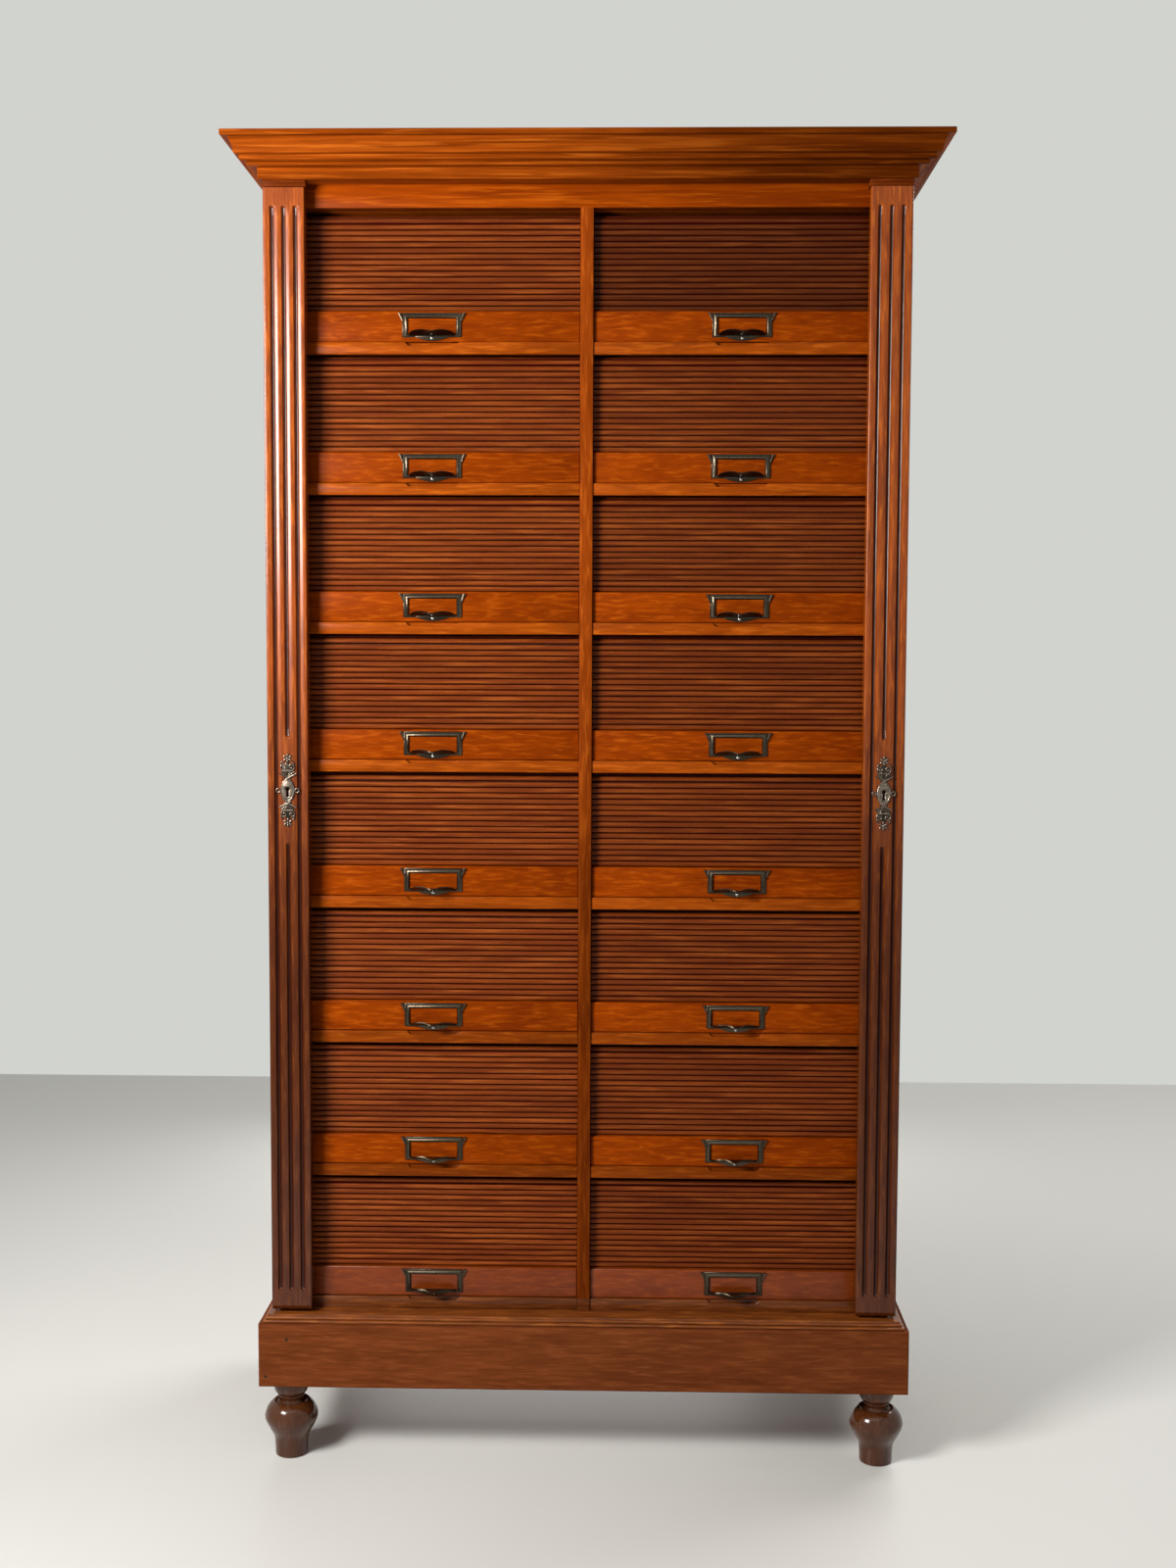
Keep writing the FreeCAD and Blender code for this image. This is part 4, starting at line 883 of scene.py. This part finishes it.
def add_piece(whole, part, shift=(0, 0, 0)):
    """Put a part's mesh into a whole, moved by a shift in millimetres."""
    mesh = bpy.data.meshes.new("part")
    bmesh.ops.translate(part, verts=part.verts, vec=Vector(shift) * MM)
    part.to_mesh(mesh)
    part.free()
    whole.from_mesh(mesh)
    bpy.data.meshes.remove(mesh)


def ball(radius, scale):
    """A bead of metal."""
    bm = bmesh.new()
    bmesh.ops.create_uvsphere(bm, u_segments=14, v_segments=8, radius=radius * MM)
    bm.transform(Matrix.Diagonal((*scale, 1)))
    return bm


def oval(wide, high, centre, steps):
    """Points round an upright oval."""
    turns = [2 * math.pi * step / steps for step in range(steps)]
    return [(wide * math.cos(turn), centre + high * math.sin(turn)) for turn in turns]


def scroll_escutcheon():
    """The whole casting about its keyhole, its back on y = 0 and its front towards -y."""
    whole = bmesh.new()
    cartouche = oval(8.2, 13.2, 0, 40)
    keyhole = arc((0, 2.0), 2.8, -62, 242, 16) + [(-2.0, -8.8), (2.0, -8.8)]
    add_piece(whole, flat_plate([cartouche, keyhole], 2 * PLATE_THICK, 0.5), (0, -PLATE_THICK, 0))
    add_piece(whole, ribbon(cartouche, 1.15, True), (0, -1.8, 0))
    for side in (-1, 1):
        add_piece(whole, ribbon(arc((side * 12.6, 0), 2.7, 0, 345, 16), 1.0, True), (0, -1.2, 0))
        for end in (-1, 1):
            strands = [
                (bent((-6.5, 10.5), (1.5, 18.5), (11.6, 22.5)), RIBBON, -1.5 - 0.5 * side),
                (bent((-4.2, 13.5), (2.5, 21.0), (9.2, 25.4)), 0.75, -1.3 + 0.3 * side),
                (arc((5.0, 31.8), 4.6, -60, 380, 18, last=0.8), 0.9, -1.3),
                (bent((1.0, 21.5), (5.6, 24.5), (3.4, 28.0)), 0.8, -1.2),
                (bent((7.8, 33.5), (10.0, 36.5), (6.6, 39.5)), 0.75, -1.2),
            ]
            for points, radius, depth in strands:
                add_piece(whole, ribbon([(side * x, end * z) for x, z in points], radius), (0, depth, 0))
    for end in (-1, 1):
        add_piece(whole, ribbon([(-7.2, end * 26.6), (7.2, end * 26.6)], 1.15), (0, -1.9, 0))
        backing = flat_plate([oval(7.5, 11.5, end * 26, 24)], PLATE_THICK, 0.3)
        add_piece(whole, backing, (0, -PLATE_THICK / 2, 0))
        flower = end * FLOWER_RISE
        for number in range(PETALS):
            angle = 2 * math.pi * (number + 0.5) / PETALS
            petal = ball(1.0, (2.7, 1.1, 1.35))
            petal.transform(Matrix.Rotation(-angle, 4, "Y"))
            spot = (FLOWER_RADIUS * math.cos(angle), -1.3, flower + FLOWER_RADIUS * math.sin(angle))
            add_piece(whole, petal, spot)
        add_piece(whole, ball(1.6, (1, 0.9, 1)), (0, -2.0, flower))
        stem = [(-1.6, end * 36.0), (-1.6, end * 40.5), (1.6, end * 40.5), (1.6, end * 36.0)]
        add_piece(whole, flat_plate([stem[::end]], PLATE_THICK, 0.2), (0, -PLATE_THICK / 2, 0))
    return whole


def placed_copy(master, name, shift, *materials):
    """An object with a copy of a master mesh moved to its place, in millimetres."""
    mesh = master.copy()
    mesh.name = name
    mesh.transform(Matrix.Translation(Vector(shift) * MM))
    return new_object(name, mesh, *materials)


def screw_master(name, radius):
    """A round-headed screw: two half domes either side of the slot, over a thin disc."""
    bm = bmesh.new()
    rise, slot, rim = radius * SCREW_RISE, radius * SCREW_SLOT, radius * SCREW_RIM
    disc = rise * SCREW_DISC
    lathe(bm, [(0, -SCREW_ROOT), (rim, -SCREW_ROOT), (rim, disc), (0, disc)], (0, 0), 2 * SCREW_STEPS)
    for side in (1, -1):
        rings = []
        for lift in (0, 28, 56, 84):
            out, height = radius * math.cos(math.radians(lift)), disc + rise * math.sin(math.radians(lift))
            half_ring = arc((0, 0), out, 0, 180, SCREW_STEPS)
            rings.append([(side * x, side * (y * SCREW_CUT + slot), height) for x, y in half_ring])
        skinned(bm, rings)
    return new_object(name, bm, crisp=40)


escutcheon_master = mesh_from(scroll_escutcheon(), "escutcheon_master", 50)
lock_screw = screw_master("lock_screw", LOCK_SCREW)
for side, sign in SIDES.items():
    body = f"pilaster_{side}"
    low, high = corners(body)
    middle, rear, key_height = (low.x + high.x) / 2, high.y, low.z + PIVOT_FOOT + KEYHOLE_RISE
    spot = (middle, pilaster_front, key_height)
    escutcheon = placed_copy(escutcheon_master, f"escutcheon_{side}", spot, old_bronze)
    settle(escutcheon, body, f"lock_fittings_{side}")
    bm = bmesh.new()
    half, half_high = LOCK_WIDE / 2, LOCK_HIGH / 2
    near_corner = (middle - half, rear - LOCK_DEEP, key_height - half_high)
    eased_box(bm, near_corner, (middle + half, rear + LOCK_PROUD, key_height + half_high), LOCK_EASE)
    settle(new_object(f"lock_case_{side}", bm, lock_steel), body)
    screw_x, screw_z, screw_y = half - LOCK_SCREW_IN, half_high - LOCK_SCREW_DOWN, rear - LOCK_SCREW_SUNK
    signs = [(u, v) for u in (-1, 1) for v in (-1, 1)]
    spots = [(middle + u * screw_x, screw_y, key_height + v * screw_z) for u, v in signs]
    held = {"Fastener": lock_screw, "Turn": FACING_BACK, "Finish": lock_steel}
    settle(grown(f"lock_screws_{side}", spots, fastenings, **held), body)
    bm = bmesh.new()
    pivot = (sign * (case_half - PIVOT_INSET), rear - PIVOT_INSET)
    for start, end in ((low.z, low.z + PIVOT_FOOT + PIN_ROOT), (high.z - PIVOT_HEAD - PIN_ROOT, high.z)):
        pin = [(PIN_RADIUS - PIN_EASE, start), (PIN_RADIUS, start + PIN_EASE)]
        pin += [(PIN_RADIUS, end - PIN_EASE), (PIN_RADIUS - PIN_EASE, end)]
        lathe(bm, [(0, start), *pin, (0, end)], pivot, PIN_SEGMENTS)
    settle(new_object(f"pivot_pins_{side}", bm, lock_steel), body)
bpy.data.objects.remove(lock_screw)

# Roll shutters: each is a plain lath that carries the pull, and above it a curtain of flat-crowned slats
# glued to canvas, which runs up the front and back over the compartment.
ROWS = 8
SHUTTERS = {f"{side}_{row}": (side, row) for side in SIDES for row in range(1, ROWS + 1)}
SLAT_PITCH = 7.65
SLAT_HEIGHT = 7.35
SLAT_DEPTH = 5
SLAT_EDGE = 1.4
SLATS_UP = 15
SLATS_ROUND = 2
SLAT_CRISP = 50
BEND_RADIUS = 9
CANVAS_THICK, CANVAS_TUCK = 0.8, 0.2
CURTAIN_SPAN = 393
LATH_EASE = 0.7
LATH_TONES = (0.177, 0.024, 0.001), (0.288, 0.044, 0.001), (0.4, 0.079, 0.004)
SLAT_TONES = (0.134, 0.023, 0.003), (0.235, 0.047, 0.006), (0.328, 0.079, 0.012)
# Painted shade: the bottom row's laths take a darker copy of the lath wood, where the light falls off.
SHADED_LOW_LATH_TONES = (0.15, 0.024, 0.002), (0.23, 0.040, 0.004), (0.29, 0.060, 0.007)
# Painted shade for each curtain: the right-hand curtains are painted darker where the light falls off, the
# top right one most.
CURTAIN_SHADES = {"left": 1, "right": 0.84, "left_1": 0.86, "right_1": 0.46}
SLAT_DARKEST, SLAT_LIGHTEST = 0.9, 1.08
SLAT_SHOULDER_SHADE = (0.045, 0.002, 0.001)
CLOTH_TONES = (0.16, 0.10, 0.055), (0.36, 0.27, 0.17)
lath_orange = polished_timber("lath_mahogany", "x", LATH_TONES, stretch=0.28)
shaded_low_lath = polished_timber("shaded_low_lath_mahogany", "x", SHADED_LOW_LATH_TONES, stretch=0.28, gloss=0.28)
slat_mahogany = polished_timber("slat_mahogany", "x", SLAT_TONES, ribbon=0.6, stretch=0.10, gloss=0.10)
coloured_by(slat_mahogany, "slat_tone")
# Painted shade: the slats' round shoulders, where the slats meet, are brought towards a near-black tone.
coloured_by(slat_mahogany, "hollow", SLAT_SHOULDER_SHADE)
bend_step = 2 * math.asin(SLAT_PITCH / 2 / BEND_RADIUS)
bend_apothem = BEND_RADIUS * math.cos(bend_step / 2)

sized_canvas, tree, shader, place = new_material("sized_canvas")
thread = {"Vector": place, "Scale": 420}
threads = [add_node(tree, "ShaderNodeTexWave", thread, bands_direction=way).outputs["Fac"] for way in "XZ"]
weave = worked_out(tree, "MULTIPLY", *threads)
set_inputs(tree, shader, {"Base Color": between_tones(tree, weave, CLOTH_TONES), "Roughness": 0.9})


def curtain_tree():
    """Slats in a straight row up the front and a few more round the bend, each with a tone of its own."""
    inputs = {
        "Geometry": "Geometry", "Slat": "Object", "Bent Slat": "Object", "First": "Vector", "Pitch": "Float",
        "Count": "Int", "Bend Centre": "Vector", "Bend Step": "Float", "Bend Count": "Int", "Seed": "Int",
        "Darkest": "Float", "Lightest": "Float", "Finish": "Material",
    }
    tree, given, result = new_group("tambour_curtain", "GeometryNodeTree", inputs, {"Geometry": "Geometry"})

    def row_of(slat, count, start, offset, **turn):
        values = {"Count": given[count], "Start Location": given[start], "Offset": offset}
        line = add_node(tree, "GeometryNodeMeshLine", values).outputs["Mesh"]
        master = add_node(tree, "GeometryNodeObjectInfo", {"Object": given[slat]}).outputs["Geometry"]
        values = {"Points": line, "Instance": master} | turn
        return add_node(tree, "GeometryNodeInstanceOnPoints", values).outputs["Instances"]

    rise = add_node(tree, "ShaderNodeCombineXYZ", {"Z": given["Pitch"]}).outputs["Vector"]
    index = add_node(tree, "GeometryNodeInputIndex").outputs["Index"]
    swing = worked_out(tree, "MULTIPLY", worked_out(tree, "ADD", index, 0.5), given["Bend Step"])
    lean = add_node(tree, "ShaderNodeCombineXYZ", {"X": swing}).outputs["Vector"]
    both = add_node(tree, "GeometryNodeJoinGeometry")
    set_inputs(tree, both, {"Geometry": row_of("Slat", "Count", "First", rise)})
    round_bend = row_of("Bent Slat", "Bend Count", "Bend Centre", (0, 0, 0), Rotation=lean)
    set_inputs(tree, both, {"Geometry": round_bend})
    values = {"Seed": given["Seed"], 2: given["Darkest"], 3: given["Lightest"]}
    chance = add_node(tree, "FunctionNodeRandomValue", values).outputs[1]
    values = {"Geometry": both.outputs["Geometry"], "Name": "slat_tone", "Value": chance}
    tone = add_node(tree, "GeometryNodeStoreNamedAttribute", values, domain="INSTANCE", data_type="FLOAT")
    finish_instances(tree, tone.outputs["Geometry"], given["Finish"], result)
    return tree


def slat_master(name, back, bottom):
    """A slat with a flat back, short square edges and a flat crown with round shoulders."""
    half = SLAT_HEIGHT / 2
    # hollow is the share of painted shade at each point of the section, full at the back and the square
    # edges.
    section, hollow = [(back, bottom), (back, bottom + SLAT_HEIGHT)], [1, 1]
    for share in (1, 0.97, 0.9, 0.78, 0.55, 0, -0.55, -0.78, -0.9, -0.97, -1):
        swell = (1 - abs(share) ** 3) ** 0.5
        section.append((back - SLAT_EDGE - (SLAT_DEPTH - SLAT_EDGE) * swell, bottom + half + half * share))
        hollow.append(1 - min(max(2.1 * (swell**2 - 0.22), 0), 1))
    bm = bmesh.new()
    skinned(bm, [[(x, y, z) for y, z in section] for x in (-CURTAIN_SPAN / 2, CURTAIN_SPAN / 2)])
    slat = new_object(name, bm, crisp=SLAT_CRISP)
    mark_hollows(slat, hollow * 2)
    return slat


curtain = curtain_tree()
straight = slat_master("straight_slat", 0, 0)
round_slat = slat_master("bent_slat", -bend_apothem, -SLAT_HEIGHT / 2)
for key, (side, row) in SHUTTERS.items():
    body, joint = f"shutter_{key}", f"shutter_{key}_slide"
    low, high = corners(f"tambour_{key}")
    middle, foot = (low.x + high.x) / 2, low.z
    slat_back = low.y + SLAT_DEPTH
    # the curtain's painted shade scales the range of its slats' own random tones
    curtain_shade = CURTAIN_SHADES.get(key, CURTAIN_SHADES[side])
    bend_y, bend_z = slat_back + BEND_RADIUS, foot + SLATS_UP * SLAT_PITCH

    timber = shaded_low_lath if row == ROWS else lath_orange
    lath = eased_copy(f"lath_{key}", f"shutter_lath_{key}", LATH_EASE, timber)
    settle(lath, body, f"lath_{key}")

    slats = grown(
        f"curtain_{key}", [], curtain, Slat=straight, Bent_Slat=round_slat, Pitch=SLAT_PITCH * MM,
        First=Vector((middle, slat_back, foot + SLAT_PITCH - SLAT_HEIGHT)) * MM, Count=SLATS_UP,
        Bend_Centre=Vector((middle, bend_y, bend_z)) * MM, Bend_Count=SLATS_ROUND, Bend_Step=-bend_step,
        Seed=row + 20 * (side == "right"), Darkest=SLAT_DARKEST * curtain_shade, Lightest=SLAT_LIGHTEST * curtain_shade,
        Finish=slat_mahogany,
    )
    slats.data.shade_smooth()
    slats.data.set_sharp_from_angle(angle=math.radians(SLAT_CRISP))
    settle(slats, body, f"tambour_{key}")
    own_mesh(slats)

    bends = [bend_step * number for number in range(1, SLATS_ROUND + 1)]
    inner = (bend_apothem - CANVAS_THICK) / math.cos(bend_step / 2)
    strip = [(slat_back, foot), (slat_back, bend_z)]
    for radius, angles in ((BEND_RADIUS, bends), (inner, bends[::-1])):
        strip += [(bend_y - radius * math.cos(a), bend_z + radius * math.sin(a)) for a in angles]
    strip += [(slat_back + CANVAS_THICK, bend_z - CANVAS_TUCK), (slat_back + CANVAS_THICK, foot)]
    bm = bmesh.new()
    spans = middle - CURTAIN_SPAN / 2, middle + CURTAIN_SPAN / 2
    skinned(bm, [[(x, y, z) for y, z in strip] for x in spans])
    canvas = new_object(f"canvas_{key}", bm, sized_canvas)
    settle(canvas, body)
    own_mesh(canvas)
bpy.data.objects.remove(straight)
bpy.data.objects.remove(round_slat)

# Pulls: cast card frames with flared ears, a ridge round the card and a bowed finger lip below it.
# One round-headed screw holds each through the tab at its foot; the brass has gone brown and grey.
PULL_HALF = 39.5
PULL_LOW, PULL_HIGH = 6.5, 38.6
BAR, TOP_BAR, SILL = 7.5, 7.1, 4.0
BAR_EDGE = [(0, 0), (0, 0.9), (0.5, 1.5), (1.2, 1.7), (1.9, 1.5), (2.4, 1.4)]
BAR_SECTION = BAR_EDGE + [(2.8, 1.7), (4.9, 2.9), (5.5, 3.1), (6.1, 2.8), (7.4, 0.9), (7.5, 0)]
EAR_FOOT, EAR_NOTCH, EAR_REACH, EAR_WIDTH = 12.6, 8, 6.0, 4.4
EAR_THICK, EAR_EASE = 2.6, 0.8
TAB_HALF, TAB_DROP, TAB_STEPS = 22, 5.2, 10
TAB_THICK, TAB_EASE = 1.7, 0.4
LIP_HALF, LIP_ROOT = 31, 3.2
LIP_OUT, LIP_NOSE = 13, 6.5
LIP_RISE, LIP_DIP = 5.6, 3.0
LIP_THICK = 1.5
LIP_COLUMNS, LIP_ROWS = 24, 8
PULL_SCREW, PULL_SCREW_DROP = 2.3, 1.2
LIP_SHADE_TONES = (0.018, 0.013, 0.009), (0.030, 0.023, 0.016)
BRASS_TONES = (0.030, 0.021, 0.014), (0.105, 0.082, 0.058)
SCREW_TONES = (0.30, 0.28, 0.24), (0.62, 0.60, 0.55)
lath_face = corners("lath_left_1")[0].y
# Painted shade: the finger lip takes a darker copy of the frame's brass.
shaded_lip_brass = patinated("shaded_lip_brass", *LIP_SHADE_TONES, 700, lath_face, lath_face - 8)
brown_brass = patinated("brown_brass", *BRASS_TONES, 700, lath_face - 0.6, lath_face - 2.2)
bright_screw = patinated("bright_screw", *SCREW_TONES, 500, lath_face, lath_face - 2)


def card_frame():
    """Four bars mitred at the corners, their section given as (distance from the outer edge, height)."""
    bm = bmesh.new()
    loops = []
    for inward, height in BAR_SECTION:
        share = inward / BAR
        x = PULL_HALF - inward
        low, high = PULL_LOW + SILL * share, PULL_HIGH - TOP_BAR * share
        spots = [(-x, -height, low), (x, -height, low), (x, -height, high), (-x, -height, high)]
        loops.append([bm.verts.new(Vector(spot) * MM) for spot in spots])
    for outer, inner in zip(loops, loops[1:] + loops[:1]):
        bridged(bm, outer, inner)
    return bm


def finger_lip():
    """A thin lip that stands out and up from the frame's foot in two humps, with a lower nose between."""
    bm = bmesh.new()
    grid = []
    for column in range(LIP_COLUMNS + 1):
        u = -1 + 2 * column / LIP_COLUMNS
        swell = (1 - abs(u) ** 3.2) ** 0.5
        nose = math.exp(-((u / 0.28) ** 2))
        reach, rise = 0.6 + swell * (LIP_OUT + LIP_NOSE * nose), swell * (LIP_RISE - LIP_DIP * nose)
        strip = []
        for row in range(LIP_ROWS + 1):
            v = row / LIP_ROWS
            spot = (LIP_HALF * u, -0.8 - reach * v, PULL_LOW + LIP_ROOT + rise * v**1.4)
            strip.append(bm.verts.new(Vector(spot) * MM))
        grid.append(strip)
    for near, far in zip(grid, grid[1:]):
        for row in range(LIP_ROWS):
            bm.faces.new((near[row], far[row], far[row + 1], near[row + 1]))
    bmesh.ops.recalc_face_normals(bm, faces=bm.faces)
    bmesh.ops.solidify(bm, geom=bm.faces[:], thickness=LIP_THICK * MM)
    for face in bm.faces:
        face.material_index = 1
    return bm


def card_pull():
    """The casting about the middle of its foot, its back on y = 0 and the compartment's floor on z = 0."""
    whole = card_frame()
    across = [TAB_HALF * step / TAB_STEPS for step in range(-TAB_STEPS, TAB_STEPS + 1)]
    tab = [(x, PULL_LOW + 0.5 - TAB_DROP * math.cos(math.pi * x / 2 / TAB_HALF) ** 0.8) for x in across]
    tab += [(TAB_HALF, PULL_LOW + 2), (-TAB_HALF, PULL_LOW + 2)]
    add_piece(whole, flat_plate([tab], TAB_THICK, TAB_EASE), (0, -TAB_THICK / 2, 0))
    tip, foot = PULL_HALF + EAR_REACH, PULL_HALF - 0.5
    ear = bent((foot, PULL_HIGH - EAR_FOOT), (PULL_HALF + 2.2, PULL_HIGH - 7), (tip, PULL_HIGH))
    ear += bent((tip - EAR_WIDTH, PULL_HIGH), (PULL_HALF + 0.8, PULL_HIGH - 4), (foot, PULL_HIGH - EAR_NOTCH))
    for side in (1, -1):
        outline = [(side * x, z) for x, z in ear][::side]
        add_piece(whole, flat_plate([outline], EAR_THICK, EAR_EASE), (0, -EAR_THICK / 2, 0))
    add_piece(whole, finger_lip())
    return whole


pull_master = mesh_from(card_pull(), "pull_master", 40)
pull_screw = screw_master("pull_screw", PULL_SCREW)
held = {"Fastener": pull_screw, "Turn": FACING_FRONT, "Finish": bright_screw}
for key in SHUTTERS:
    low, high = corners(f"lath_{key}")
    middle, front, floor_height = (low.x + high.x) / 2, low.y, low.z - LATH_CLEAR
    spot = (middle, front, floor_height)
    pull = placed_copy(pull_master, f"card_pull_{key}", spot, brown_brass, shaded_lip_brass)
    settle(pull, f"shutter_{key}", f"pull_{key}")
    spot = (middle, front - TAB_THICK, floor_height + PULL_LOW - PULL_SCREW_DROP)
    screw = grown(f"pull_screw_{key}", [spot], fastenings, **held)
    settle(screw, f"shutter_{key}")
bpy.data.objects.remove(pull_screw)
